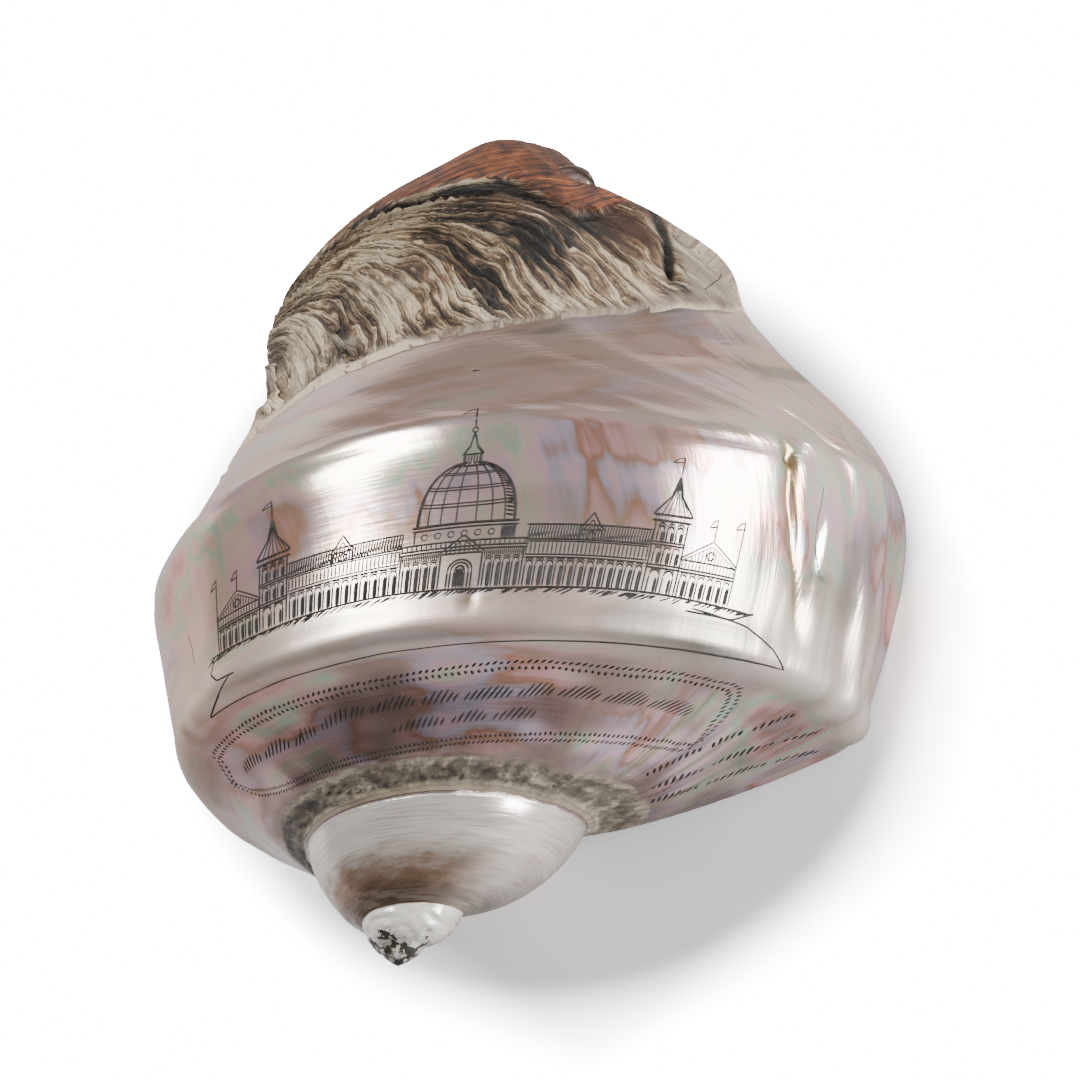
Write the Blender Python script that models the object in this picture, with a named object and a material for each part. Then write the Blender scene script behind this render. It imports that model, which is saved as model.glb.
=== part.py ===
"""Engraved turban shell: one hollow, coiled sea shell, lying on its mouth.

The shell is grown the way the snail grows it. An outline, from the suture over the ramp
and two keels to the rough base, turns about the coiling axis and grows as it turns.
The angle of growth is 0 at the middle of the upper side and rises towards the mouth.
In the shell's own frame the tip is the origin and the coiling axis runs along +Z to the base.
"""

from collections import namedtuple
from math import cos, exp, pi, radians, sin

import bmesh
import bpy
from mathutils import Matrix, Vector

MM = 0.001
TURN = 2 * pi

# --- Driving dimensions, in millimetres and degrees -------------------------------------

TIP_RADIUS = 2.6  # the worn, blunt tip of the spire
SPIRE_TURNS = 1.9  # coils above the last one
SPIRE_SWELL = 0.56  # how round a spire coil is between its two sutures

# One station of the outline at growth angle 0. The lip is the angle where the mouth
# cuts the shell off, and the corner says how much of the two sides its rounding takes.
Station = namedtuple("Station", "name radius height spread climb lip corner steps")

OUTLINE = (
    Station("suture", 27.6, 28.2, 0.195, 0.160, 116, 0.50, 2),
    Station("channel", 36.0, 32.0, 0.200, 0.162, 114, 0.50, 3),
    Station("ramp", 53.0, 41.4, 0.208, 0.168, 106, 0.45, 3),
    Station("shoulder keel", 67.6, 47.0, 0.210, 0.190, 96, 0.24, 4),
    Station("side", 74.2, 69.0, 0.188, 0.172, 96, 0.50, 3),
    Station("attachment", 76.8, 84.0, 0.178, 0.158, 91, 0.50, 2),
    Station("middle keel", 76.4, 89.7, 0.176, 0.155, 89, 0.20, 3),
    Station("band", 72.0, 103.5, 0.182, 0.162, 56, 0.45, 3),
    Station("nacre border", 65.0, 116.0, 0.186, 0.172, 47, 0.25, 3),
    Station("neck", 58.6, 129.0, 0.204, 0.172, 47, 0.50, 3),
    Station("fasciole", 55.0, 141.5, 0.170, 0.147, 35, 0.50, 3),
    Station("crest", 50.0, 168.5, 0.130, 0.126, 5, 0.50, 3),
    Station("inner crest", 34.0, 170.0, 0.120, 0.122, 26, 0.50, 3),
    Station("navel", 17.0, 152.0, 0.060, 0.050, 75, 0.50, 2),
    Station("axis", 0.0, 140.0, 0.0, 0.0, 115, 0.50, 0),
)
ATTACHMENT = 5  # the station where the next coil grips the shell

# The hollow's outline, inside the wall all the way round.
HOLLOW = (
    Station("under channel", 39.5, 37.8, 0.200, 0.162, 116, 0.50, 2),
    Station("under shoulder", 62.8, 50.2, 0.209, 0.186, 98, 0.38, 2),
    Station("inside side", 69.8, 71.0, 0.186, 0.171, 95, 0.50, 2),
    Station("inside keel", 72.0, 89.5, 0.177, 0.157, 88, 0.45, 2),
    Station("inside band", 66.5, 106.0, 0.182, 0.164, 57, 0.50, 2),
    Station("inside neck", 54.0, 129.0, 0.196, 0.172, 47, 0.50, 2),
    Station("inside crest", 46.0, 161.5, 0.135, 0.130, 10, 0.45, 2),
    Station("columella foot", 29.0, 162.0, 0.130, 0.125, 50, 0.50, 2),
    Station("columella", 17.0, 128.0, 0.130, 0.120, 108, 0.50, 2),
    Station("columella head", 25.0, 80.0, 0.150, 0.150, 116, 0.50, 2),
    Station("inner wall", 22.0, 48.0, 0.200, 0.172, 116, 0.50, 2),
    Station("suture corner", 28.8, 35.6, 0.198, 0.165, 116, 0.50, 2),
)
HOLLOW_START = -330  # degrees of growth where the hollow closes
HOLLOW_CLOSING = 50  # degrees over which it narrows to its end
MOUTH_CLEARANCE = 16  # degrees the cutter runs past the lip

# How it lies: turned about its own axis, tip raised, and turned on the table.
ROLL = -15.3
DIP = 12.2
YAW = -6.0
FLAT_DEPTH = 0.6  # of the flat spots that it rests on
FLOOR_BLOCK = 100.0

# The middle of the coil's section at growth angle 0, and how fast it grows.
SECTION_HEART = (34.0, 105.0)
HEART_GROWTH = 0.15

SHARP_EDGE = 40
ROWS_PER_TURN = 48
RIDGE_ROWS = 3  # rows of the net from one growth ridge of the rough base to the next
RIDGE_HEIGHT = 1.3


def smooth(value, low, high):
    t = min(max((value - low) / (high - low), 0.0), 1.0)
    return t * t * (3 - 2 * t)


def grown(station, angle):
    """Radius and height of a station at an angle of growth."""
    if station.radius == 0:
        return Vector((0.0, station.height))
    radius = TIP_RADIUS + (station.radius - TIP_RADIUS) * exp(station.spread * angle)
    return Vector((radius, station.height * exp(station.climb * angle)))


def corner_cut(points, corners, index, part):
    """A point between two stations: straight between them, rounded near each corner."""
    here = points[index]
    there = points[(index + 1) % len(points)]
    if part < corners[index]:
        before = here + (points[index - 1] - here) * corners[index]
        after = here + (there - here) * corners[index]
        t = 0.5 + 0.5 * part / corners[index]
        return before * (1 - t) ** 2 + here * 2 * t * (1 - t) + after * t**2
    next_corner = corners[(index + 1) % len(corners)]
    if part > 1 - next_corner:
        beyond = points[(index + 2) % len(points)]
        before = there + (here - there) * next_corner
        after = there + (beyond - there) * next_corner
        t = 0.5 * (part - 1 + next_corner) / next_corner
        return before * (1 - t) ** 2 + there * 2 * t * (1 - t) + after * t**2
    return here.lerp(there, part)


def steps_along(stations):
    """Where the outline is sampled, as pairs of a station's index and a part of the way on."""
    return [(i, j / s.steps) for i, s in enumerate(stations) for j in range(s.steps)]


def spire_outline(angle):
    """Stations on a spire coil, which swells from its own suture to the next one."""
    points = [grown(station, angle) for station in OUTLINE]
    upper = points[0]
    lower = grown(OUTLINE[0], angle + TURN)
    for i in range(1, ATTACHMENT):
        turned = pi / 2 * i / ATTACHMENT
        reach = lower - upper
        quarter = upper + Vector((reach.x * sin(turned), reach.y * (1 - cos(turned))))
        chord = upper + reach * (i / ATTACHMENT)
        points[i] = chord.lerp(quarter, SPIRE_SWELL)
    points[ATTACHMENT] = lower
    return points


LAST_TURN_START = radians(OUTLINE[0].lip) - TURN
KEELS_FULL = radians(-115)  # from here on the keels stand out fully


def outline_point(angle, index, part):
    """Radius and height of the outer surface."""
    keeled = smooth(angle, LAST_TURN_START, KEELS_FULL)
    points = [grown(station, angle) for station in OUTLINE]
    if keeled < 1:
        round_coil = spire_outline(angle)
        points = [a.lerp(b, keeled) for a, b in zip(round_coil, points)]
    corners = [0.5 + (station.corner - 0.5) * keeled for station in OUTLINE]
    corners[0] = 0.001
    corners[-1] = 0.001
    return corner_cut(points, corners, index, part)


def hollow_point(angle, index, part):
    """Radius and height of the inner surface."""
    points = [grown(station, angle) for station in HOLLOW]
    corners = [station.corner for station in HOLLOW]
    point = corner_cut(points, corners, index, part)
    start = radians(HOLLOW_START)
    closing = min((angle - start) / radians(HOLLOW_CLOSING), 1.0)
    heart = sum(points, Vector((0.0, 0.0))) / len(points)
    return heart.lerp(point, (1 - (1 - closing) ** 2) ** 0.5 if closing > 0 else 0.0)


def lip_angle(stations, index, part):
    lips = [Vector((radians(station.lip), 0.0)) for station in stations]
    corners = [max(station.corner, 0.001) for station in stations]
    return corner_cut(lips, corners, index, part).x


def on_the_coil(angle, point):
    return Vector((point.x * cos(angle), point.x * sin(angle), point.y)) * MM


def ridge(row, angle, index, part):
    """How far a growth ridge stands out of the rough base."""
    place = index + part
    rough = smooth(place, 8.0, 9.0) * (1 - smooth(place, 11.6, 12.4))
    rough *= smooth(angle, radians(-220), radians(-100))
    return rough * RIDGE_HEIGHT * ((row % RIDGE_ROWS) / (RIDGE_ROWS - 1) - 0.5)


def skin(bm, rows, closed=False):
    """Faces between neighbouring rows of vertices."""
    for row, following in zip(rows, rows[1:]):
        for i in range(len(row) if closed else len(row) - 1):
            j = (i + 1) % len(row)
            corners = list(dict.fromkeys([row[i], row[j], following[j], following[i]]))
            if len(corners) > 2:
                bm.faces.new(corners)


def lace(bm, left, right):
    """Triangles between two lines of vertices that share their two ends."""
    i = 0
    j = 0
    while i < len(left) - 1 or j < len(right) - 1:
        if i / (len(left) - 1) <= j / (len(right) - 1):
            corners = dict.fromkeys([left[i], left[i + 1], right[j]])
            i += 1
        else:
            corners = dict.fromkeys([left[i], right[j + 1], right[j]])
            j += 1
        if len(corners) == 3:
            bm.faces.new(list(corners))


def mesh_object(name, bm, collection):
    bmesh.ops.triangulate(bm, faces=bm.faces)
    bmesh.ops.recalc_face_normals(bm, faces=bm.faces)
    mesh = bpy.data.meshes.new(name)
    bm.to_mesh(mesh)
    bm.free()
    made = bpy.data.objects.new(name, mesh)
    collection.objects.link(made)
    return made


def outer_shell():
    """The whole shell as a solid with no hollow: the spire, the last turn and its end."""
    bm = bmesh.new()
    samples = steps_along(OUTLINE)
    visible = [s for s in samples if s[0] < ATTACHMENT]
    step = TURN / ROWS_PER_TURN
    first_row = -round(SPIRE_TURNS * ROWS_PER_TURN)

    # The suture is one line of vertices, which both the coil above and the coil below use.
    suture = {}
    for row in range(first_row, ROWS_PER_TURN + 1):
        angle = LAST_TURN_START + row * step
        suture[row] = bm.verts.new(on_the_coil(angle, outline_point(angle, 0, 0.0)))

    spire = []
    for row in range(first_row, 1):
        angle = LAST_TURN_START + row * step
        coil = [bm.verts.new(on_the_coil(angle, outline_point(angle, *s))) for s in visible[1:]]
        spire.append([suture[row]] + coil + [suture[row + ROWS_PER_TURN]])
    skin(bm, spire)

    # The last turn's rows swing round from straight to the slant of the lip.
    pole = bm.verts.new(Vector((0.0, 0.0, OUTLINE[-1].height * MM)))
    lips = [lip_angle(OUTLINE, *s) for s in samples]
    last_turn = []
    for row in range(ROWS_PER_TURN + 1):
        slant = smooth(row / ROWS_PER_TURN, 0.05, 0.55)
        line = [suture[row]] if row > 0 else list(spire[-1])
        for s, lip in list(zip(samples, lips))[len(line):]:
            angle = LAST_TURN_START + row * step + (lip - lips[0]) * slant
            point = outline_point(angle, *s)
            heart = Vector(SECTION_HEART) * exp(HEART_GROWTH * angle)
            point += (point - heart).normalized() * ridge(ROWS_PER_TURN - row, angle, *s)
            line.append(bm.verts.new(on_the_coil(angle, point)))
        last_turn.append(line + [pole])
    skin(bm, last_turn)

    # The end, which the hollow is cut through, and the worn tip.
    lace(bm, last_turn[-1], last_turn[0][len(visible):])
    tip = bm.verts.new(Vector((0.0, 0.0, 0.0)))
    edge = [suture[row] for row in range(first_row, first_row + ROWS_PER_TURN + 1)]
    edge += spire[0][-2::-1]
    for a, b in zip(edge, edge[1:]):
        bm.faces.new([tip, a, b])
    return bm


def hollow():
    """The space inside, from its closed end out past the lip."""
    bm = bmesh.new()
    samples = steps_along(HOLLOW)
    lips = [lip_angle(HOLLOW, *s) + radians(MOUTH_CLEARANCE) for s in samples]
    start = radians(HOLLOW_START)
    rows = round((lips[0] - start) / TURN * ROWS_PER_TURN)
    closed_end = bm.verts.new(on_the_coil(start, hollow_point(start, 0, 0.0)))
    net = [[closed_end] * len(samples)]
    for row in range(1, rows + 1):
        slant = smooth(row / rows, 0.2, 0.75)
        line = []
        for s, lip in zip(samples, lips):
            angle = start + (lips[0] - start) * row / rows + (lip - lips[0]) * slant
            line.append(bm.verts.new(on_the_coil(angle, hollow_point(angle, *s))))
        net.append(line)
    skin(bm, net, closed=True)
    middle = bm.verts.new(sum((v.co for v in net[-1]), Vector()) / len(samples))
    for a, b in zip(net[-1], net[-1][1:] + net[-1][:1]):
        bm.faces.new([middle, a, b])
    return bm


def nacre():
    material = bpy.data.materials.new("polished nacre")
    material.use_nodes = True
    shader = material.node_tree.nodes["Principled BSDF"]
    shader.inputs["Base Color"].default_value = (0.62, 0.50, 0.46, 1.0)
    shader.inputs["Roughness"].default_value = 0.25
    shader.inputs["Metallic"].default_value = 0.0
    return material


def cut(piece, cutter):
    cutter.hide_render = True
    cutter.display_type = "WIRE"
    modifier = piece.modifiers.new(cutter.name, "BOOLEAN")
    modifier.operation = "DIFFERENCE"
    modifier.solver = "EXACT"
    modifier.object = cutter


for old in list(bpy.data.objects):
    bpy.data.objects.remove(old, do_unlink=True)

part = bpy.data.collections.new("engraved turban shell")
cutters = bpy.data.collections.new("cutters")
bpy.context.scene.collection.children.link(part)
bpy.context.scene.collection.children.link(cutters)

shell = mesh_object("turban_shell", outer_shell(), part)
shell.data.materials.append(nacre())
cavity = mesh_object("hollow", hollow(), cutters)

# The shell's axis lies along +Y with its tip raised, and angle 0 of growth looks up.
along_y = Matrix(((0, 1, 0, 0), (0, 0, 1, 0), (1, 0, 0, 0), (0, 0, 0, 1)))
lying = Matrix.Rotation(radians(-YAW), 4, "Z") @ Matrix.Rotation(radians(-DIP), 4, "X")
lying = lying @ along_y @ Matrix.Rotation(radians(-ROLL), 4, "Z")
corners = [lying @ v.co for v in shell.data.vertices]
low = Vector([min(c[i] for c in corners) for i in range(3)])
high = Vector([max(c[i] for c in corners) for i in range(3)])
centre = (low + high) / 2
rest = Vector((-centre.x, -centre.y, -low.z - FLAT_DEPTH * MM))

holder = bpy.data.objects.new("coiling axis", None)
part.objects.link(holder)
holder.matrix_world = Matrix.Translation(rest) @ lying
shell.parent = holder
cavity.parent = holder

# Small flat spots are worn where it rests.
bpy.ops.mesh.primitive_cube_add(size=1, location=(0, 0, -FLOOR_BLOCK * MM / 2))
floor_block = bpy.context.object
floor_block.name = "resting plane"
floor_block.scale = (3 * FLOOR_BLOCK * MM, 3 * FLOOR_BLOCK * MM, FLOOR_BLOCK * MM)
for home in list(floor_block.users_collection):
    home.objects.unlink(floor_block)
cutters.objects.link(floor_block)

cut(shell, cavity)
cut(shell, floor_block)

shell.data.shade_smooth()
shell.data.set_sharp_from_angle(angle=radians(SHARP_EDGE))
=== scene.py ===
"""Looks of the engraved turban shell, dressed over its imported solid."""

from collections import namedtuple
from math import cos, exp, pi, radians, sin

import bmesh
import bpy
import numpy as np
from mathutils import Matrix, Vector


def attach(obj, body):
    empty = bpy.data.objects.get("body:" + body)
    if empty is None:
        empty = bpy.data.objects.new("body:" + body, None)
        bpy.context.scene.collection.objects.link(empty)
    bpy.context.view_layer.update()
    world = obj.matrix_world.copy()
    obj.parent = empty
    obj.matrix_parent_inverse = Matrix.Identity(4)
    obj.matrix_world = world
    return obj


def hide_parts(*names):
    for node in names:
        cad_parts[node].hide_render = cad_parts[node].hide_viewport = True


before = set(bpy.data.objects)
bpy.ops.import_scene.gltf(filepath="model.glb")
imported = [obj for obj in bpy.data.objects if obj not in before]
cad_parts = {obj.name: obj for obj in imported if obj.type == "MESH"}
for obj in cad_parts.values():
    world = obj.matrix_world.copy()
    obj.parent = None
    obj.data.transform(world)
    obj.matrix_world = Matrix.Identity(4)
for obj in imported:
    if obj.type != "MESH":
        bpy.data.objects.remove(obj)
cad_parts["turban_shell"].data.update()  # so that its box is measured afresh
bpy.context.view_layer.update()

# --- The shell's form ---------------------------------------------------------------------
# The shell of a large turban snail, one coiled wall of mother of pearl. The snail made it by
# adding to the lip, so an outline from the suture over the ramp and the keels to the base
# turns about the coiling axis and grows as it turns. Sizes are in millimetres.

MM = 0.001
TURN = 2 * pi
TIP_RADIUS = 2.6
SPIRE_TURNS = 1.9
SPIRE_SWELL = 0.56
SPIRE_ROWS = 130  # for each turn
SPIRE_COLUMNS = 26

Station = namedtuple("Station", "name radius height spread climb lip corner columns", defaults=(0.5, 8))

OUTLINE = (
    Station("suture", 27.6, 28.2, 0.195, 0.160, 116, 0.50, 10),
    Station("channel", 36.0, 32.0, 0.200, 0.162, 114, 0.50, 18),
    Station("ramp", 53.0, 41.4, 0.208, 0.168, 106, 0.45, 16),
    Station("shoulder keel", 67.6, 47.0, 0.210, 0.190, 96, 0.24, 20),
    Station("side", 74.2, 69.0, 0.188, 0.172, 96, 0.50, 12),
    Station("attachment", 76.8, 84.0, 0.178, 0.158, 91, 0.50, 6),
    Station("middle keel", 76.4, 89.7, 0.176, 0.155, 89, 0.20, 12),
    Station("band", 72.0, 103.5, 0.182, 0.162, 56, 0.45, 12),
    Station("nacre border", 65.0, 116.0, 0.186, 0.172, 47, 0.25, 16),
    Station("neck", 58.6, 129.0, 0.204, 0.172, 47, 0.50, 16),
    Station("fasciole", 55.0, 141.5, 0.170, 0.147, 35, 0.50, 30),
    Station("crest", 50.0, 168.5, 0.130, 0.126, 5, 0.50, 16),
    Station("inner crest", 34.0, 170.0, 0.120, 0.122, 26, 0.50, 16),
    Station("navel", 17.0, 152.0, 0.060, 0.050, 75, 0.50, 6),
    Station("axis", 0.0, 140.0, 0.0, 0.0, 115, 0.50, 0),
)
ATTACHMENT = 5
BORDER = 8  # the station where the polish ends

LAST_TURN_START = radians(OUTLINE[0].lip) - TURN
KEELS_FULL = radians(-115)


def smooth(value, low, high):
    t = np.clip((value - low) / (high - low), 0.0, 1.0)
    return t * t * (3 - 2 * t)


def grown(stations, angle):
    """Radius and height of every station at each growth angle."""
    radius = np.array([s.radius for s in stations])
    core = np.where(radius > 0, TIP_RADIUS, 0.0)
    spread = np.array([s.spread for s in stations])
    climb = np.array([s.climb for s in stations])
    height = np.array([s.height for s in stations])
    turned = angle[:, None]
    wide = core + (radius - core) * np.exp(spread * turned)
    return np.stack([wide, height * np.exp(climb * turned)], -1)


def between(points, corners, place):
    """The point at a place along the stations, rounded off near each of them."""
    count = points.shape[1]
    index = np.floor(place).astype(int)
    part = (place - index)[:, None]
    row = np.arange(len(place))
    last, here, there, beyond = [points[row, (index + k) % count] for k in (-1, 0, 1, 2)]
    round_here = corners[row, index % count][:, None]
    round_there = corners[row, (index + 1) % count][:, None]

    def bend(start, middle, end, t):
        return start * (1 - t) ** 2 + middle * 2 * t * (1 - t) + end * t**2

    straight = here + (there - here) * part
    first = bend(
        here + (last - here) * round_here,
        here,
        here + (there - here) * round_here,
        0.5 + 0.5 * part / round_here,
    )
    second = bend(
        there + (here - there) * round_there,
        there,
        there + (beyond - there) * round_there,
        0.5 * (part - 1 + round_there) / round_there,
    )
    return np.where(part < round_here, first, np.where(part > 1 - round_there, second, straight))


def outer_surface(angle, place):
    """Radius and height of the outside. The round coils of the spire turn into keels."""
    keeled = smooth(angle, LAST_TURN_START, KEELS_FULL)[:, None]
    points = grown(OUTLINE, angle)
    coil = points.copy()
    upper = points[:, 0]
    lower = grown(OUTLINE[:1], angle + TURN)[:, 0]
    for i in range(1, ATTACHMENT):
        turned = pi / 2 * i / ATTACHMENT
        quarter = upper + (lower - upper) * (sin(turned), 1 - cos(turned))
        chord = upper + (lower - upper) * (i / ATTACHMENT)
        coil[:, i] = chord + (quarter - chord) * SPIRE_SWELL
    coil[:, ATTACHMENT] = lower
    points = coil + (points - coil) * keeled[:, None]
    corners = 0.5 + (np.array([s.corner for s in OUTLINE]) - 0.5) * keeled
    corners[:, [0, -1]] = 0.001
    return between(points, corners, place)


def lip_of(stations, place):
    """The growth angle at which the mouth cuts each place of the outline."""
    lips = np.array([[radians(s.lip), 0.0] for s in stations])[None].repeat(len(place), 0)
    corners = np.array([[max(s.corner, 0.001) for s in stations]]).repeat(len(place), 0)
    return between(lips, corners, place)[:, 0]


HOLLOW = (
    Station("under channel", 39.5, 37.8, 0.200, 0.162, 113),
    Station("under shoulder", 62.8, 50.2, 0.209, 0.186, 95, 0.38),
    Station("inside side", 69.8, 71.0, 0.186, 0.171, 93),
    Station("inside keel", 72.0, 89.5, 0.177, 0.157, 86, 0.45),
    Station("inside band", 66.5, 106.0, 0.182, 0.164, 55),
    Station("inside neck", 54.0, 129.0, 0.196, 0.172, 45),
    Station("inside crest", 46.0, 161.5, 0.135, 0.130, 12, 0.45),
    Station("columella foot", 29.0, 162.0, 0.130, 0.125, 46),
    Station("columella", 17.0, 128.0, 0.130, 0.120, 96),
    Station("columella head", 25.0, 80.0, 0.150, 0.150, 98),
    Station("inner wall", 22.0, 48.0, 0.200, 0.172, 98),
    Station("suture corner", 28.8, 35.6, 0.198, 0.165, 106),
)
HOLLOW_START = radians(-330)
HOLLOW_CLOSING = radians(50)
HOLLOW_ROWS = 84
HOLLOW_SEAM = 11.5  # the place where each row of the inside starts and ends


def inner_surface(angle, place):
    """Radius and height of the inside, which closes to a rounded end far up the coil."""
    points = grown(HOLLOW, angle)
    corners = np.array([[s.corner for s in HOLLOW]]).repeat(len(angle), 0)
    point = between(points, corners, place)
    closing = np.clip((angle - HOLLOW_START) / HOLLOW_CLOSING, 0.0, 1.0)[:, None]
    heart = points.mean(1)
    return heart + (point - heart) * np.sqrt(1 - (1 - closing) ** 2)


OUTSIDE, LIP, INSIDE = 0, 1, 2
net = []
facets = []


def add_points(angle, flat, place, growth, side):
    """Adds points to the net, and returns their numbers in the same rows and columns."""
    start = sum(len(block) for block in net)
    parts = np.broadcast_arrays(angle, flat[..., 0], flat[..., 1], place, growth, float(side))
    block = np.stack(parts, -1)
    net.append(block.reshape(-1, 6))
    return start + np.arange(block[..., 0].size).reshape(block.shape[:-1])


def surface_points(surface, angle, place, growth, side):
    angle, place, growth = np.broadcast_arrays(angle, place, growth)
    flat = surface(angle.ravel(), place.ravel()).reshape(angle.shape + (2,))
    return add_points(angle, flat, place, growth, side)


def closed(line):
    """A line of points that comes back to its start."""
    return [*line.tolist(), int(line[0])]


def skin(rows, all_round=False):
    """Four-sided facets between neighbouring rows of points."""
    if all_round:
        rows = np.concatenate([rows, rows[:, :1]], 1)
    quads = np.stack([rows[:-1, :-1], rows[:-1, 1:], rows[1:, 1:], rows[1:, :-1]], -1)
    facets.extend(quads.reshape(-1, 4).tolist())


def fan(centre, edge):
    facets.extend([centre, a, b] for a, b in zip(edge, edge[1:]))


def lace(left, right, left_at, right_at):
    """Triangles between two lines of points, matched by how far along each of them is."""
    i = j = 0
    while i < len(left) - 1 or j < len(right) - 1:
        stuck = j == len(right) - 1
        if stuck or (i < len(left) - 1 and left_at[i + 1] <= right_at[j + 1]):
            corners = [left[i], left[i + 1], right[j]]
            i += 1
        else:
            corners = [left[i], right[j + 1], right[j]]
            j += 1
        if len(set(corners)) == 3:
            facets.append(corners)


def places_of(stations):
    steps = [i + np.arange(s.columns) / s.columns for i, s in enumerate(stations)]
    return np.concatenate(steps)


# The last turn. Its rows are growth lines, which swing round to the slant of the lip,
# and one column of the net runs along the wavy edge where the polish ends.
place = np.append(places_of(OUTLINE), len(OUTLINE) - 1.0)
lips = lip_of(OUTLINE, place)
HIDDEN_SHARE, HIDDEN_ROWS, SEEN_ROWS = 0.37, 78, 326  # the far part of the turn has fewer rows
hidden_turned = np.linspace(0, HIDDEN_SHARE, HIDDEN_ROWS, endpoint=False)
turned = np.concatenate([hidden_turned, np.linspace(HIDDEN_SHARE, 1, SEEN_ROWS)])
slant = smooth(turned, 0.05, 0.55)
growth = LAST_TURN_START + turned * TURN
angle = growth[:, None] + (lips - lips[0])[None] * slant[:, None]
border_angle = angle[:, np.argmin(abs(place - BORDER))]
growth_rows = growth


def border_place(angle):
    """Where the polish ends: a wavy line near its station."""
    wave = -0.16 + 0.09 * np.cos((angle + radians(28)) * TURN / radians(76))
    return BORDER + wave + 0.03 * np.sin(angle * 23) + 0.015 * np.sin(angle * 61 + 1)


near_border = np.clip(1 - abs(place - BORDER), 0, 1)
waved = place[None] + (border_place(border_angle) - BORDER)[:, None] * near_border[None]
last_turn = surface_points(outer_surface, angle[:, :-1], waved[:, :-1], growth[:, None], OUTSIDE)
pole = add_points(np.zeros(1), np.array([[0.0, OUTLINE[-1].height]]), 14.0, growth[-1], OUTSIDE)[0]
attached = int(np.argmin(abs(place - ATTACHMENT)))
last_turn[0, attached] = last_turn[-1, 0]
skin(last_turn)
fan(pole, last_turn[::-1, -1].tolist())

# The spire. Every coil's lower edge is the suture of the coil below it.
row_step = TURN / SPIRE_ROWS
spire_rows = round(SPIRE_TURNS * SPIRE_ROWS)
spire_angle = LAST_TURN_START - row_step * np.arange(spire_rows, 0, -1)
spire_place = np.linspace(0, ATTACHMENT, SPIRE_COLUMNS, endpoint=False)
spire = surface_points(outer_surface, spire_angle[:, None], spire_place, spire_angle[:, None], OUTSIDE)
skin(spire)
covered = spire_rows - SPIRE_ROWS
skin(np.stack([spire[:covered, -1], spire[SPIRE_ROWS:, 0]], 1))
seam = np.concatenate([spire[-1:, 0], last_turn[:, 0]])
seam_at = np.concatenate([spire_angle[-1:], growth])
lace(spire[covered - 1 :, -1], seam, spire_angle[covered - 1 :] + TURN, seam_at)
lace(spire[-1], last_turn[0, : attached + 1], spire_place, place[: attached + 1])

# The worn tip, a low dome over the first coil.
rim = np.concatenate([spire[: SPIRE_ROWS + 1, 0], spire[0, :0:-1]])
everything = np.concatenate(net)
rim_data = everything[rim]
rings = [rim]
for share in (0.85, 0.65, 0.42, 0.2):
    flat = rim_data[:, 1:3] * (share, share**1.6)
    rings.append(add_points(rim_data[:, 0], flat, 0.0, rim_data[:, 4], OUTSIDE))
rings = np.stack(rings)
skin(rings, all_round=True)
tip = add_points(np.zeros(1), np.zeros((1, 2)), 0.0, spire_angle[0], OUTSIDE)[0]
fan(tip, closed(rings[-1]))

# The inside, from its rounded end down to the mouth.
inner_place = np.concatenate([HOLLOW_SEAM + np.arange(4) / 8, places_of(HOLLOW)[:-4]])
inner_lips = lip_of(HOLLOW, inner_place)
share = np.linspace(0, 1, HOLLOW_ROWS)[1:] ** 0.85
inner_growth = HOLLOW_START + (inner_lips[0] - HOLLOW_START) * share
inner_angle = inner_growth[:, None] + (inner_lips - inner_lips[0]) * smooth(share, 0.2, 0.75)[:, None]
inside = surface_points(inner_surface, inner_angle, inner_place, inner_growth[:, None], INSIDE)
skin(inside, all_round=True)
closed_end = grown(HOLLOW, np.array([HOLLOW_START])).mean(1)
end = add_points(np.array([HOLLOW_START]), closed_end, 0.0, HOLLOW_START, INSIDE)[0]
fan(end, closed(inside[0]))

# The lip: a rounded edge from the outside, and from the coil above, into the hollow. Pairs
# say which place of the hollow lies across from which place of the outline.
LIP_MATCH = ((0, -0.5), (2, 0.5), (3, 1), (4, 2), (6, 3), (7, 4), (9, 5), (11, 6), (12, 6.7), (14, 8))
WALL_MATCH = ((14, 8), (12, 8.8), (11, 9.2), (9, 10), (7, 10.6), (5, HOLLOW_SEAM))
back = np.arange(len(place) - 2, attached, -1)
outer_rim = np.concatenate([last_turn[-1], [pole], last_turn[0, back]])
outer_rim_place = np.concatenate([place, place[back]])
lip_match = np.interp(place, *zip(*LIP_MATCH))
wall_match = np.interp(place[back], *zip(*reversed(WALL_MATCH)))
match = np.concatenate([lip_match, wall_match])


def in_space(data):
    return np.stack([data[:, 1] * np.cos(data[:, 0]), data[:, 1] * np.sin(data[:, 0]), data[:, 2]], -1)


everything = np.concatenate(net)
start = in_space(everything[outer_rim])
match_place = np.mod(match, len(HOLLOW))
match_angle = lip_of(HOLLOW, match_place)
goal = in_space(np.column_stack([match_angle, inner_surface(match_angle, match_place)]))
across = np.linalg.norm(goal - start, axis=1, keepdims=True)
rim_angle = everything[outer_rim, 0]
forward = np.stack([-np.sin(rim_angle), np.cos(rim_angle), 0 * rim_angle], -1)
rings = [outer_rim]
for share in (0.12, 0.3, 0.5, 0.7, 0.88):
    bulge = np.minimum(across * 0.25, 0.9) * 4 * share * (1 - share)
    spot = start + (goal - start) * share + forward * bulge
    around = np.arctan2(spot[:, 1], spot[:, 0])
    flat = np.stack([np.hypot(spot[:, 0], spot[:, 1]), spot[:, 2]], -1)
    rings.append(add_points(around, flat, outer_rim_place, growth[-1], LIP))
rings = np.stack(rings)
skin(rings, all_round=True)
lace(
    closed(rings[-1]),
    closed(inside[-1]),
    np.append(match, HOLLOW_SEAM),
    np.append(inner_place - len(HOLLOW) * (inner_place >= HOLLOW_SEAM), HOLLOW_SEAM),
)

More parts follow.
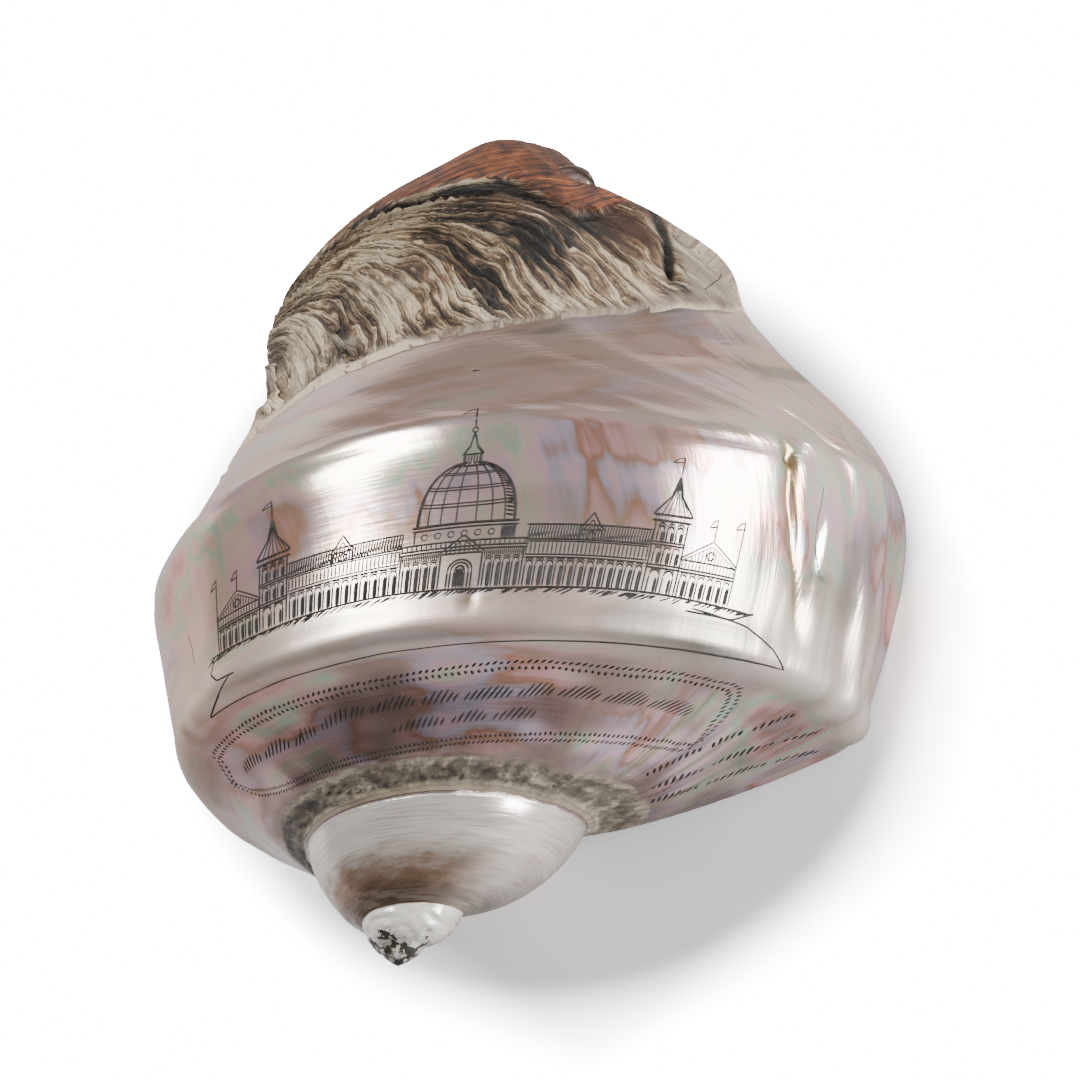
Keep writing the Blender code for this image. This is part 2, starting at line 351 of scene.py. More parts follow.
# The facets are all turned outwards on a trial coil, and points that none uses are dropped.
everything = np.concatenate(net)
trial = bmesh.new()
trial_points = [trial.verts.new(p) for p in in_space(everything)]
for facet in facets:
    trial.faces.new([trial_points[i] for i in facet])
bmesh.ops.recalc_face_normals(trial, faces=trial.faces)
bmesh.ops.delete(trial, geom=[v for v in trial.verts if not v.link_faces], context="VERTS")
used = np.unique(np.concatenate(facets))
trial.verts.index_update()
facets = [[v.index for v in f.verts] for f in trial.faces]
trial.free()
everything = everything[used]

# How far along the growth and how far across the outline each point is, in millimetres. On
# the base the growth lines sweep back towards the crest, and almost run along it there.
angle, radius, height, place, growth, side = everything.T
degrees = np.degrees(angle)
outside = side == OUTSIDE
on_base = (side != INSIDE) & (place > BORDER)
past_border = np.clip(place - BORDER, 0, 3.05)
swept_back = 6 * past_border + 0.0099 * (np.exp(3.1 * past_border) - 1)
grown_at = np.interp(angle + np.radians(swept_back), border_angle, growth_rows)
growth = np.where(on_base, grown_at, growth)
outline_flat = np.array([[s.radius, s.height] for s in OUTLINE])
outline_length = np.append(0, np.cumsum(np.linalg.norm(np.diff(outline_flat, axis=0), axis=1)))
SIDE_RADIUS, SIDE_SPREAD = OUTLINE[ATTACHMENT].radius, OUTLINE[ATTACHMENT].spread
ALONG, ALONG_SPREAD = 368, 0.19  # how long the coil is at the keel, and how fast it spreads
REST_TURN, LAST_REST = radians(19.5), radians(89.5)  # how far the lip grew from rest to rest
along = ALONG * np.exp(ALONG_SPREAD * growth)
across = np.where(side == INSIDE, 20 * place, np.interp(place, range(len(OUTLINE)), outline_length))
slanted = across - 60 * angle  # follows the slant of the leaves on the base


def cloud(x, y, seed):
    """Smooth random hills one unit wide, between -1 and 1."""
    table = np.random.default_rng(seed).uniform(-1, 1, (256, 256))
    column = np.floor(x).astype(int)
    row = np.floor(y).astype(int)
    u = smooth(x - column, 0, 1)
    v = smooth(y - row, 0, 1)
    a, b = table[column % 256, row % 256], table[(column + 1) % 256, row % 256]
    c, d = table[column % 256, (row + 1) % 256], table[(column + 1) % 256, (row + 1) % 256]
    return (a * (1 - u) + b * u) * (1 - v) + (c * (1 - u) + d * u) * v


def clouds(x, y, seed, layers=3):
    return sum(cloud(x * 2**k, y * 2**k, seed + k) / 2**k for k in range(layers)) / 1.6


def stretch(value, start, full, fading, end):
    """1 between full and fading, and 0 before the start and past the end."""
    return smooth(value, start, full) * (1 - smooth(value, fading, end))


def hill(value, middle, width):
    return np.exp(-(((value - middle) / width) ** 2))


def spot_at(at_degrees, at_place, reach, breadth):
    return hill(degrees, at_degrees, reach) * hill(place, at_place, breadth)


def spots(table):
    """Spots added up. Each row says how much, at which angle and place, and how far it reaches."""
    return sum(much * spot_at(*spot) for much, *spot in table)


# This shell's own swellings out from the coiling axis, and risings along it: the neck is full
# behind the lip and hollow at the far left, and the shoulder is flatter where it turns under.
SWELLINGS = (
    (2.8, 47, 8.6, 14, 1.1),
    (-3.6, -84, 9.9, 13, 0.7),
    (-2.0, -118, 3.0, 34, 0.9),
    (-1.5, -66, 6.8, 14, 1.2),
    (-1.2, 86, 5.2, 15, 1.8),
    (-1.1, 100, 3.0, 12, 1.2),
    (-1.6, 14, 11.6, 10, 0.7),
)
RISINGS = (
    (1.8, 0, 11.2, 9, 0.5),
    (-1.4, 17, 11.4, 9, 0.7),
    (-2.2, 20, 10.5, 5, 0.3),
    (1.3, 36, 9.8, 8, 0.6),
    (-2.4, 30, 12.2, 14, 0.6),
)
not_inside = side != INSIDE
radius = radius + not_inside * spots(SWELLINGS)
height = height + not_inside * spots(RISINGS)

# The polished wall: rolls on the keels, hollows between them, swellings along the growth
# lines towards the lip, and small pits and cracks that the polish didn't reach.
last = outside * smooth(degrees, -230, -120)
late = smooth(degrees, 30, 74)
lift = (1.2 * smooth(degrees, -100, -40) + 0.2) * last * hill(place, 3.06, 0.19)
for much, at_place, breadth in ((0.6, 6.03, 0.16), (-1.1, 4.3, 0.8), (-0.5, 2.1, 0.6), (-0.4, 7.0, 0.5)):
    lift += much * last * hill(place, at_place, breadth)
lift += 0.7 * last * late * smooth(place, 3.1, 3.6) * cloud(along / 7.5, across / 60, 5)
lift += 0.28 * last * late * cloud(along / 3.3, across / 25, 6)
lift += 0.35 * last * cloud(along / 24, across / 16, 7)
lift += 0.14 * last * cloud(along / 9, across / 15, 8)
on_side = last * stretch(place, 3.2, 3.6, 5.9, 6.4)
groove_at = np.interp(place, (3.3, 3.98, 4.64, 5.56), (61.3, 55.8, 52.2, 50.8))
groove = on_side * hill(degrees, groove_at, 1.0)
lift += 0.55 * on_side * hill(degrees, groove_at + 3.6, 2.2) - 0.8 * groove
ridge_at = np.interp(place, (3.16, 3.94, 4.82, 6.32), (78.8, 76.2, 70.0, 63.5))
ridge = 0.9 * hill(degrees, ridge_at, 1.5) + 0.8 * hill(degrees, ridge_at + 6.5, 1.6)
ridge -= 0.7 * hill(degrees, ridge_at - 4.0, 2.0)
lift += last * stretch(place, 2.9, 3.3, 6.2, 6.8) * ridge
knob = smooth(degrees, 66, 78) + 0.5 * hill(degrees, -65, 4)
lift += 0.9 * last * knob * hill(place, 3.0, 0.28) * np.cos(degrees * TURN / 11.6)
SMALL_PITS = (
    (-0.5, 2.0, 7.06, 1.0, 0.10),
    (-0.6, 5.2, 3.32, 1.1, 0.10),
    (-0.8, 50.8, 5.44, 1.0, 0.12),
    (-0.9, 60.5, 4.2, 0.9, 0.5),
    (-0.8, 43, 7.45, 4.0, 0.16),
    (-0.5, 34, 7.2, 5.0, 0.12),
)
lift += outside * spots(SMALL_PITS)

# Marks of wear and age on the polish, scoured places on the growth layer, a browner tint
# towards the far left, and painted shade on the keel's roll and on the side near the lip, where
# the right softbox's reflection falls. Each is a few spots: how strong, at which angle and place,
# and how far they reach along and across.
WEAR_AND_PAINTED_SHADE = {
    "pitted": ((1, 2.0, 7.06, 0.8, 0.08), (1, 50.8, 5.44, 0.8, 0.1), (0.6, 43, 7.45, 3, 0.08)),
    "chipped": ((1, 5.2, 3.32, 1.0, 0.09), (1, -20, 4.0, 0.7, 0.12)),
    "warmed": ((1, -60, 4.0, 28, 2.4),),
    # Browner and darker towards the far left of the ramp and side.
    "browned": ((0.2, -74, 4.7, 14, 1.5), (1, -80, 2.3, 30, 0.9), (0.5, -25, 1.4, 22, 0.3)),
    # Painted shade: darkens the keel's roll and the side near the lip where the right softbox's reflection
    # falls.
    "dulled": ((0.9, 42, 3.08, 10, 0.25), (0.75, 72.5, 4.2, 5, 0.9)),
    "smoked": ((1, 61.5, 3.95, 4.0, 0.32), (0.6, 70, 4.15, 3, 0.4), (0.5, 49, 3.95, 4, 0.2)),
    "scoured": (
        (1, -44, 8.75, 7, 0.55),
        (0.7, -29, 9.05, 3, 0.2),
        (0.5, -18, 9.6, 4, 0.3),
        (0.3, -60, 9.8, 8, 0.5),
    ),
}

# The channel by the suture is rough, with wrinkles that the lip left behind.
channel = outside * smooth(degrees, -215, -150) * stretch(place, 0.05, 0.25, 0.62, 1.12)
lift -= 0.6 * channel
around = along * radius / SIDE_RADIUS
lift += channel * (0.6 * clouds(around / 3.4, across / 3.0, 11) + 0.4 * cloud(around / 9, across / 1.6, 12))

# The growth layer on the base: a skin about a millimetre thick with a bevelled edge, and
# leafy ridges, one from each rest of the growing lip, which overlap like slates. A smooth
# roll along the crest overhangs them.
inward = across - np.interp(border_place(angle), range(len(OUTLINE)), outline_length)
layer = smooth(inward, -0.3, 1.8) * on_base * (1 - smooth(place, 13.5, 13.95))
inner_lip = (side == INSIDE) * smooth(height, 160, 171) * smooth(degrees, 4, 22)
fading = outside * layer * smooth(inward, 0, 11)
fading = fading * smooth(degrees, -242, -200) * (1 - smooth(place, 12.6, 13.4))
wander = 3.4 * clouds(along / 30, across / 26, 21) + 0.7 * clouds(along / 8, across / 12, 22)
wander += 5.0 * cloud(along / 33, 0 * along, 27)
rest_length = ALONG * ALONG_SPREAD * REST_TURN
rest_at = (along + wander - ALONG * exp(ALONG_SPREAD * LAST_REST)) / rest_length
slate = rest_at - np.floor(rest_at)
slate = slate**1.8 * (1 - smooth(slate, 0.93, 1.0))
strength = 0.9 + 0.7 * cloud(np.floor(rest_at) * 0.37, across / 18, 23)
leaf_at = (along + 0.9 * wander) / 3.6
leaf = leaf_at - np.floor(leaf_at)
leaf = leaf**1.5 * (1 - smooth(leaf, 0.84, 1.0))
broken = smooth(clouds(along / 9, across / 14, 24), -0.4, 0.4)
crumpled = clouds(along / 2.6, slanted / 13, 25)
roll_edge = np.interp(
    degrees, (-60, -30, -21, -1, 4, 15.5, 21, 27), (10.95, 10.86, 10.78, 10.62, 10.6, 10.36, 10.15, 10.05)
)
roll_edge = roll_edge + 0.05 * cloud(degrees / 8, 0, 26)
crest_roll = stretch(place, roll_edge - 0.05, roll_edge + 0.03, 12.7, 13.3)
under_roll = hill(place, roll_edge - 0.07, 0.055) * stretch(degrees, -62, -40, 22, 30)
folds = clouds(along / 12, slanted / 40, 28, 2)
relief = (1.6 + 1.6 * smooth(degrees, -80, -45)) * slate * strength + 0.6 * crumpled + 1.2 * folds
relief += 0.75 * leaf * broken * smooth(degrees, -80, -40)
gap_at = np.interp(place, (8.3, 9.36, 9.9), (36.0, 37.5, 35.5))
lobe_gap = hill(degrees, gap_at, 1.2) * stretch(place, 8.3, 8.9, 9.9, 10.2)
calm = 1 - 0.75 * crest_roll
calm = calm * (1 - 0.7 * smooth(degrees, 37, 40) * (1 - smooth(place, 9.6, 10.2)))
calm = calm * (1 - 0.5 * (1 - smooth(degrees, -74, -54)) * smooth(place, 9.4, 10))
lift += layer * (0.9 - 1.5 * smooth(inward, 1.5, 12))
lift += fading * (calm * (relief - 1.1) + 0.9 * crest_roll - 2.1 * under_roll - 1.9 * lobe_gap)
lift += fading * spots(((2.3, -69, 10.45, 11, 0.55), (1.6, -29, 9.05, 3.5, 0.22), (-1.4, -24, 9.1, 2.2, 0.3)))

# Old stains on the growth layer: below nothing is darker, above it paler.
TONES = (
    (0.32, -24, 10.45, 12, 0.22),
    (-0.34, 16, 9.75, 9, 0.5),
    (-0.26, 29, 9.9, 7, 0.35),
    (-0.2, -4, 10.35, 10, 0.18),
    (0.38, -47, 9.3, 10, 1.0),
    (0.14, -16, 9.0, 5, 0.4),
    (-0.16, -3, 8.6, 6, 0.25),
    (0.1, 33, 8.8, 4, 0.5),
    (0.12, 20, 8.35, 9, 0.2),
)

# Everything thins to nothing at the lip's edge.
lip_distance = np.radians(np.degrees(lip_of(OUTLINE, np.clip(place, 0, 13.999))) - degrees) * radius
edge = np.where(outside, smooth(lip_distance, 0.0, 3.0), 0.0)
edge = np.where(outside & (degrees < -200) & (place > ATTACHMENT), smooth(degrees, -244, -236), edge)
lift *= edge

# Inside, the wall is thicker under the rough base.
thicker = stretch(place, 4.0, 4.7, 6.5, 6.9) * stretch(degrees, -262, -240, -8, 14)
lift += np.where(side == INSIDE, 3.1 * thicker, 0)

# The spire's tip is worn and pitted.
worn = outside * (1 - smooth(height, 9, 14))
lift += worn * 0.4 * clouds(degrees / 24, height / 1.2, 31)

# The coiling axis lies along +Y, raised at the tip, and angle 0 of growth looks up.
LYING_ROLL, LYING_DIP, LYING_YAW = radians(-15.3), radians(12.2), radians(-6.0)
TIP_PLACE = Vector((-0.01145, -0.09028, 0.05380))
along_y = Matrix(((0, 1, 0, 0), (0, 0, 1, 0), (1, 0, 0, 0), (0, 0, 0, 1)))
lying = Matrix.Rotation(-LYING_YAW, 4, "Z") @ Matrix.Rotation(-LYING_DIP, 4, "X")
lying = lying @ along_y @ Matrix.Rotation(-LYING_ROLL, 4, "Z")

flat_net = bpy.data.meshes.new("flat net of the shell")
flat_net.from_pydata(np.column_stack([along, across, 0 * along]).tolist(), [], facets)
for name, values in (
    ("growth angle", angle),
    ("outline radius", radius * MM),
    ("outline height", height * MM),
    ("lift", lift * MM),
    ("growth layer", layer),
    ("past border", np.where(side == INSIDE, 0, inward)),
    ("channel dirt", channel),
    ("groove", groove),
    ("rest", rest_at),
    ("tone", spots(TONES)),
    ("crest roll", layer * crest_roll),
    # Painted shade: a dark colour in the groove under the crest roll and in the gap between the lobes.
    ("crevice", fading * np.maximum(under_roll, lobe_gap)),
    ("place", np.where(side == INSIDE, -1.0, place)),
    ("degrees", degrees),
    ("height", height),
    ("lip edge", np.where(side == LIP, 1.0, 0.0) * (place < 7.5)),
    ("broken edge", np.where(side == LIP, smooth(place, 9.8, 10.4), 0)),
    ("rusty inside", inner_lip),
    *[(name, outside * spots(table)) for name, table in WEAR_AND_PAINTED_SHADE.items()],
):
    flat_net.attributes.new(name, "FLOAT", "POINT").data.foreach_set("value", values.astype(np.float32))
corner_points = np.zeros(len(flat_net.loops), np.int32)
flat_net.loops.foreach_get("vertex_index", corner_points)


def add_map(name, right, up, scale=0.01):
    placed = np.column_stack([right, up])[corner_points] * scale
    flat_net.uv_layers.new(name=name).data.foreach_set("uv", placed.ravel())
    return placed


MEAN_RADIUS = 70
ROUND, GROWN = "around and across", "growth lines"  # the two maps for patterns
add_map(GROWN, along, slanted)
add_map(ROUND, MEAN_RADIUS * angle, across)


def length_at(turned):
    """How long the side is from the top to an angle of growth."""
    return SIDE_RADIUS / SIDE_SPREAD * (np.exp(SIDE_SPREAD * turned) - 1)


# The map for the engraving is true to size on the side. Facets of the inside and the lip,
# and those that join one coil to the next, are set aside in its corner.
placed = add_map("engraving", length_at(angle), across, MM)
sides = np.array([len(facet) for facet in facets])
starts = np.cumsum(sides) - sides
reach = np.maximum.reduceat(placed, starts) - np.minimum.reduceat(placed, starts)
inner = np.maximum.reduceat(side[corner_points], starts) > OUTSIDE
LONGEST_FACET, OUT_OF_THE_WAY = 0.012, -0.9
aside = np.repeat(inner | (reach.max(1) > LONGEST_FACET), sides)
placed[aside] = OUT_OF_THE_WAY
flat_net.uv_layers["engraving"].data.foreach_set("uv", placed.ravel())

shell = bpy.data.objects.new("turban_shell_wall", flat_net)
bpy.context.scene.collection.objects.link(shell)


class Wire:
    """What comes out of a node. It can be reckoned with like a number."""

    def __init__(self, tree, socket):
        self.tree, self.socket = tree, socket

    def __add__(self, other):
        return self.tree.math("ADD", self, other)

    def __sub__(self, other):
        return self.tree.math("SUBTRACT", self, other)

    def __rsub__(self, other):
        return self.tree.math("SUBTRACT", other, self)

    def __mul__(self, other):
        return self.tree.math("MULTIPLY", self, other)

    __radd__, __rmul__ = __add__, __mul__

    def fit(self, low, high, to_low=0, to_high=1, way="SMOOTHSTEP"):
        """A value that goes from to_low to to_high while this one goes from low to high."""
        bounds = low, high, to_low, to_high
        return self.tree.node("ShaderNodeMapRange", self, *bounds, interpolation_type=way)[0]


class Tree:
    """A node tree that is put together in the order in which its nodes work."""

    def __init__(self, tree):
        self.tree = tree

    def set(self, socket, value):
        if isinstance(value, Wire):
            self.tree.links.new(value.socket, socket)
        elif value is not None:
            socket.default_value = value

    def add(self, kind, *values, **settings):
        """A node with its settings, and values or wires in the order of its open sockets."""
        made = self.tree.nodes.new(kind)
        for name, value in settings.items():
            setattr(made, name, value)
        sockets = [s for s in made.inputs if s.enabled and not s.is_unavailable]
        for socket, value in zip(sockets, values):
            self.set(socket, value)
        return made

    def node(self, kind, *values, **settings):
        """Adds a node, and returns what comes out of its open sockets."""
        made = self.add(kind, *values, **settings)
        return [Wire(self, s) for s in made.outputs if s.enabled and not s.is_unavailable]

    def shape(self, kind, *values, **settings):
        """What comes out first of one of the nodes that make shapes."""
        return self.node("GeometryNode" + kind, *values, **settings)[0]

    def end(self, name, shape, *coats):
        """Ends a tree of shapes. A coat is a mask, or None for everywhere, and a material."""
        shape = self.shape("RealizeInstances", shape)
        for mask, material in coats:
            shape = self.shape("SetMaterial", shape, mask, self.inputs[material])
        self.set(self.outputs[name], shape)

    def vector(self, operation, *values):
        return self.node("ShaderNodeVectorMath", *values, operation=operation)[0]

    def math(self, operation, *values):
        return self.node("ShaderNodeMath", *values, operation=operation)[0]

    def attribute(self, name, kind="FLOAT"):
        return self.shape("InputNamedAttribute", name, data_type=kind)


def new_tree(name, kind, inputs, outputs, maker=Tree):
    """A named tree with its own inputs and outputs."""
    made = maker(bpy.data.node_groups.new(name, kind))
    for way, sockets in (("INPUT", inputs), ("OUTPUT", outputs)):
        for socket, socket_kind, *start in sockets:
            item = made.tree.interface.new_socket(socket, in_out=way, socket_type="NodeSocket" + socket_kind)
            if start:
                item.default_value = start[0]
    entries = made.tree.nodes.new("NodeGroupInput").outputs
    made.inputs = {entry.name: Wire(made, entry) for entry in entries}
    made.outputs = made.tree.nodes.new("NodeGroupOutput").inputs
    return made


def add_modifier(piece, tree, **values):
    """Puts a tree on a piece. Its inputs are set by their sockets' identifiers."""
    modifier = piece.modifiers.new(tree.tree.name, "NODES")
    modifier.node_group = tree.tree
    for item in tree.tree.interface.items_tree:
        key = item.name.lower().replace(" ", "_")
        if key in values:
            modifier[item.identifier] = values[key]


def made_plain(piece):
    """The piece as its modifiers leave it, as a plain mesh with no modifiers."""
    bpy.context.view_layer.update()
    depsgraph = bpy.context.evaluated_depsgraph_get()
    finished = bpy.data.meshes.new_from_object(piece.evaluated_get(depsgraph), depsgraph=depsgraph)
    piece.modifiers.clear()
    piece.data = finished
    return piece


coiling = new_tree(
    "coil up the net",
    "GeometryNodeTree",
    [
        ("Net", "Geometry"),
        ("Tip Place", "Vector", tuple(TIP_PLACE)),
        ("Lying", "Vector", tuple(lying.to_euler())),
        ("Relief", "Float", 1.0),
        ("Nacre", "Material"),
        ("Growth Layer", "Material"),
    ],
    [("Shell", "Geometry")],
)
turning = coiling.attribute("growth angle")
wide = coiling.attribute("outline radius")
coil_x = wide * coiling.math("COSINE", turning)
coil_y = wide * coiling.math("SINE", turning)
spot = coiling.node("ShaderNodeCombineXYZ", coil_x, coil_y, coiling.attribute("outline height"))[0]
coiled = coiling.shape("SetPosition", coiling.inputs["Net"], None, spot)
outward = coiling.shape("InputNormal")
step = coiling.attribute("lift") * coiling.inputs["Relief"]
offset = coiling.vector("SCALE", outward, step)
raised = coiling.shape("SetPosition", coiled, None, None, offset)
put = coiling.inputs["Tip Place"], coiling.inputs["Lying"]
laid = coiling.shape("Transform", raised, *put)
where = coiling.node("ShaderNodeSeparateXYZ", coiling.shape("InputPosition"))
over = coiling.math("MAXIMUM", where[2], 0.0)
on_table = coiling.node("ShaderNodeCombineXYZ", where[0], where[1], over)[0]
flattened = coiling.shape("SetPosition", laid, None, on_table)
rounded = coiling.shape("SetShadeSmooth", flattened)
rough = coiling.math("GREATER_THAN", coiling.attribute("growth layer"), 0.25)
coiling.end("Shell", rounded, (None, "Nacre"), (rough, "Growth Layer"))


def colour(red, green, blue):
    """A colour as a paint chart gives it, from 0 to 255."""
    shares = [c / 255 for c in (red, green, blue)]
    return (*[s / 12.92 if s < 0.0404 else ((s + 0.055) / 1.055) ** 2.4 for s in shares], 1)


class Finish(Tree):
    """The node tree of a material, or of a group that materials share."""

    def read(self, name):
        return self.node("ShaderNodeAttribute", attribute_name=name)[2]

    def speckle(self, scale, detail=3, roughness=0.5, bend=0):
        """Noise that is even all through the piece."""
        here = self.node("ShaderNodeTexCoord")[3]
        return self.node("ShaderNodeTexNoise", here, scale, detail, roughness, 2, bend)[0]

    def streaks(self, name, right, up, seed=0, detail=3, roughness=0.5, bend=0):
        """Noise on one of the wall's maps, drawn out one way or the other."""
        flat = self.node("ShaderNodeUVMap", uv_map=name)[0]
        where = self.node("ShaderNodeMapping", flat, (seed, seed, seed), None, (right, up, 1))[0]
        return self.node("ShaderNodeTexNoise", where, 1, detail, roughness, 2, bend)[0]

    def ramp(self, value, *stops):
        """Colours at stops between 0 and 1."""
        made = self.add("ShaderNodeValToRGB", value)
        elements = made.color_ramp.elements
        while len(elements) < len(stops):
            elements.new(0.5)
        for element, (position, *paint) in zip(elements, stops):
            element.position = position
            element.color = colour(*paint)
        return Wire(self, made.outputs[0])

    def mix(self, share, under, over, kind="MIX"):
        paints = [colour(*paint) if isinstance(paint, tuple) else paint for paint in (under, over)]
        return self.node("ShaderNodeMix", share, *paints, data_type="RGBA", blend_type=kind)[0]

    def coats(self, under, *coats):
        """Coats of paint, each with the mask that it covers, laid over one another."""
        for mask, paint in coats:
            under = self.mix(mask, under, paint)
        return under

    def bump(self, height, strength, distance):
        made = self.add("ShaderNodeBump", strength, distance)
        self.set(made.inputs["Height"], height)
        return Wire(self, made.outputs[0])


def new_finish(name):
    """A material's own tree, and its shader."""
    material = bpy.data.materials.new(name)
    material.use_nodes = True
    return material, Finish(material.node_tree), material.node_tree.nodes["Principled BSDF"].inputs


# Old grime: specks and grains that lodged in the rough places.
grime_ways = [("Amount", "Float", 0.5)], [("Mask", "Float"), ("Grain", "Float")]
grime = new_tree("grime", "ShaderNodeTree", *grime_ways, Finish)
grains = grime.speckle(900, 4, 0.65)
specks = grime.speckle(330, 3, 0.7)
threshold = 0.72 - grime.inputs["Amount"] * 0.35
grime.set(grime.outputs["Mask"], specks.fit(threshold, threshold + 0.08))
grime.set(grime.outputs["Grain"], grains)


# Polished nacre. Its body is beige, mauve and cream from band to band; the bright cream on the
# shoulder keel's roll and the paler line on the middle keel are partly painted highlight. Pink,
# green and lavender clouds lie over it, drawn out along the growth lines near the lip and along
# the turn elsewhere.
nacre, pearl, shine = new_finish("polished nacre")
place_read, degrees_read, tip_read = [pearl.read(name) for name in ("place", "degrees", "height")]
body = pearl.ramp(
    pearl.math("DIVIDE", place_read, 9),
    (0, 126, 106, 92),
    (0.10, 146, 122, 114),
    (0.20, 160, 130, 126),
    (0.29, 170, 144, 134),
    # The shoulder keel's roll: cream, partly painted highlight.
    (0.33, 242, 228, 214),
    (0.38, 238, 222, 208),
    (0.47, 182, 156, 136),
    (0.62, 200, 170, 156),
    # The middle keel: a paler line, partly painted highlight.
    (0.665, 216, 196, 182),
    (0.70, 208, 178, 163),
    (0.80, 204, 174, 158),
    (0.86, 202, 176, 160),
)
patches = pearl.streaks(ROUND, 2.2, 4.5, detail=1)
grown_bands = pearl.streaks(GROWN, 13, 1.5, roughness=0.6, bend=0.3)
brushed = pearl.streaks(ROUND, 2.4, 15, detail=4, roughness=0.6)
cloudy = pearl.streaks(ROUND, 3, 7, 3.1, 2)
near_lip = degrees_read.fit(25, 60, 0.15, 1)
on_last_turn = degrees_read.fit(-244, -200)
on_side = place_read.fit(3.5, 4.3) * place_read.fit(6.1, 5.7)
on_ramp = place_read.fit(0.9, 1.5) * place_read.fit(2.9, 2.5)
on_roll = place_read.fit(2.5, 2.9) * place_read.fit(3.9, 3.4)
upright = pearl.math("MAXIMUM", near_lip, on_side * 0.75)
drawn_out = (grown_bands - brushed) * upright + brushed
tints = pearl.ramp(
    pearl.math("FRACT", patches * 3 + drawn_out + grown_bands * upright * 0.8 + 0.42),
    (0, 180, 214, 196),
    (0.10, 220, 208, 186),
    (0.27, 240, 180, 186),
    (0.41, 184, 134, 106),
    (0.56, 204, 190, 208),
    (0.70, 238, 194, 204),
    (0.88, 230, 214, 194),
    (1, 180, 214, 196),
)
tinted = cloudy.fit(0.34, 0.64) * 0.46
tinted += on_ramp * degrees_read.fit(-20, 25, 0.3, 0.75) * cloudy.fit(0.34, 0.6)
tinted += on_side * (0.4 + near_lip * 0.42)
brown_streaks = brushed.fit(0.52, 0.68) * place_read.fit(6.1, 6.5) * 0.42
green_streaks = pearl.streaks(ROUND, 3.6, 17, 7.7, 2).fit(0.6, 0.72)
green_streaks *= place_read.fit(6.1, 6.6) * 0.6
smoky = pearl.streaks(ROUND, 3.4, 9, 12.3, 4, 0.6).fit(0.36, 0.56)
surface = pearl.coats(
    body,
    (tinted, tints),
    (brown_streaks, (156, 116, 96)),
    (green_streaks, (118, 118, 104)),
    (grown_bands.fit(0.60, 0.68) * near_lip * 0.7, (160, 138, 92)),
    (pearl.read("groove") * 0.75, (150, 128, 62)),
    (smoky * pearl.read("smoked") * 0.85, (96, 82, 72)),
    (pearl.read("chipped") * 0.8, (150, 120, 78)),
    # Browner and darker towards the far left of the ramp and side.
    (pearl.read("browned") * brushed.fit(0.3, 0.6, 0.35, 0.7), (134, 98, 82)),
)
surface = pearl.mix(pearl.read("warmed") * 0.7, surface, (255, 226, 206), "MULTIPLY")
# Painted shade over the right softbox's reflection on the keel's roll and on the side near the lip.
surface = pearl.mix(pearl.read("dulled"), surface, (132, 124, 114))

# The spire is cream, whiter towards the tip, with brown stains along the sutures. Towards the
# last turn its cream is brighter, which is partly painted highlight.
on_spire = 1 - on_last_turn
second_turn = degrees_read.fit(-640, -600) * on_spire
# Brighter towards the last turn: partly painted highlight.
cream_and_painted_highlight = pearl.mix(degrees_read.fit(-640, -560), (236, 232, 224), (250, 240, 230))
cream_and_painted_highlight = pearl.mix(cloudy.fit(0.4, 0.65) * 0.3, cream_and_painted_highlight, tints)
stained_place = place_read + pearl.streaks(ROUND, 5, 12, 1.3, 4, 0.6) * 2.6
tan = second_turn * stained_place.fit(4.8, 2.8) * 0.9
stains = second_turn * stained_place.fit(3.1, 1.8) * 0.85
drawn_lines = pearl.streaks(ROUND, 3, 60, 9, roughness=0.6)
rings = pearl.streaks(ROUND, 2, 90, 6, 2)
ringed = on_spire * place_read.fit(1.6, 0.5) * rings.fit(0.42, 0.58) * 0.7
surface = pearl.coats(
    pearl.mix(on_last_turn, cream_and_painted_highlight, surface),
    (tan * degrees_read.fit(-285, -345, 0.25, 1), (150, 112, 84)),
    (stains * degrees_read.fit(-285, -345, 0.35, 1), (84, 60, 44)),
    (second_turn * drawn_lines.fit(0.5, 0.62) * 0.35, (168, 138, 124)),
    (ringed, (132, 120, 102)),
    (on_spire * place_read.fit(4.72, 4.95) * 0.7, (150, 138, 122)),
)
pits = (pearl.speckle(420, 4, 0.65) + tip_read * -0.035).fit(0.39, 0.43)
pits = pearl.math("MAXIMUM", pits * tip_read.fit(9, 6), pearl.read("pitted").fit(0.3, 0.7))

# Grime fills the channel by the suture.
channel_read = pearl.read("channel dirt")
mask, grain = pearl.node("ShaderNodeGroup", channel_read, node_tree=grime.tree)
grit = pearl.speckle(210, 5, 0.7)
swirled = pearl.streaks(ROUND, 2.6, 24, 2.2, 4, 0.65, 0.6)
dirt = (channel_read + swirled * 1.1 + grit * 0.5).fit(0.95, 1.35) * channel_read.fit(0.05, 0.3)
dirt_colour = pearl.ramp(
    swirled * 0.9 + grit * 0.6,
    (0.46, 68, 56, 46),
    (0.60, 124, 108, 92),
    (0.76, 152, 135, 117),
    (0.92, 206, 192, 170),
)
rim = (place_read + swirled * 0.2).fit(0.36, 0.24) * on_last_turn * place_read.fit(-0.8, -0.2)
within = place_read.fit(-0.2, -0.8)
rusty_inside = pearl.read("rusty inside") * brushed.fit(0.3, 0.6, 0.7, 1)
surface = pearl.coats(
    surface,
    (dirt * 0.92, dirt_colour),
    (dirt * mask * 0.5, (50, 40, 30)),
    (rim * 0.8, pearl.mix(grit, (126, 112, 94), (182, 168, 146))),
    (within, pearl.mix(0.3, (228, 218, 208), tints)),
    (rusty_inside, (84, 56, 40)),
    (pearl.read("lip edge") * 0.8, (204, 208, 210)),
    (pits, (52, 40, 30)),
)
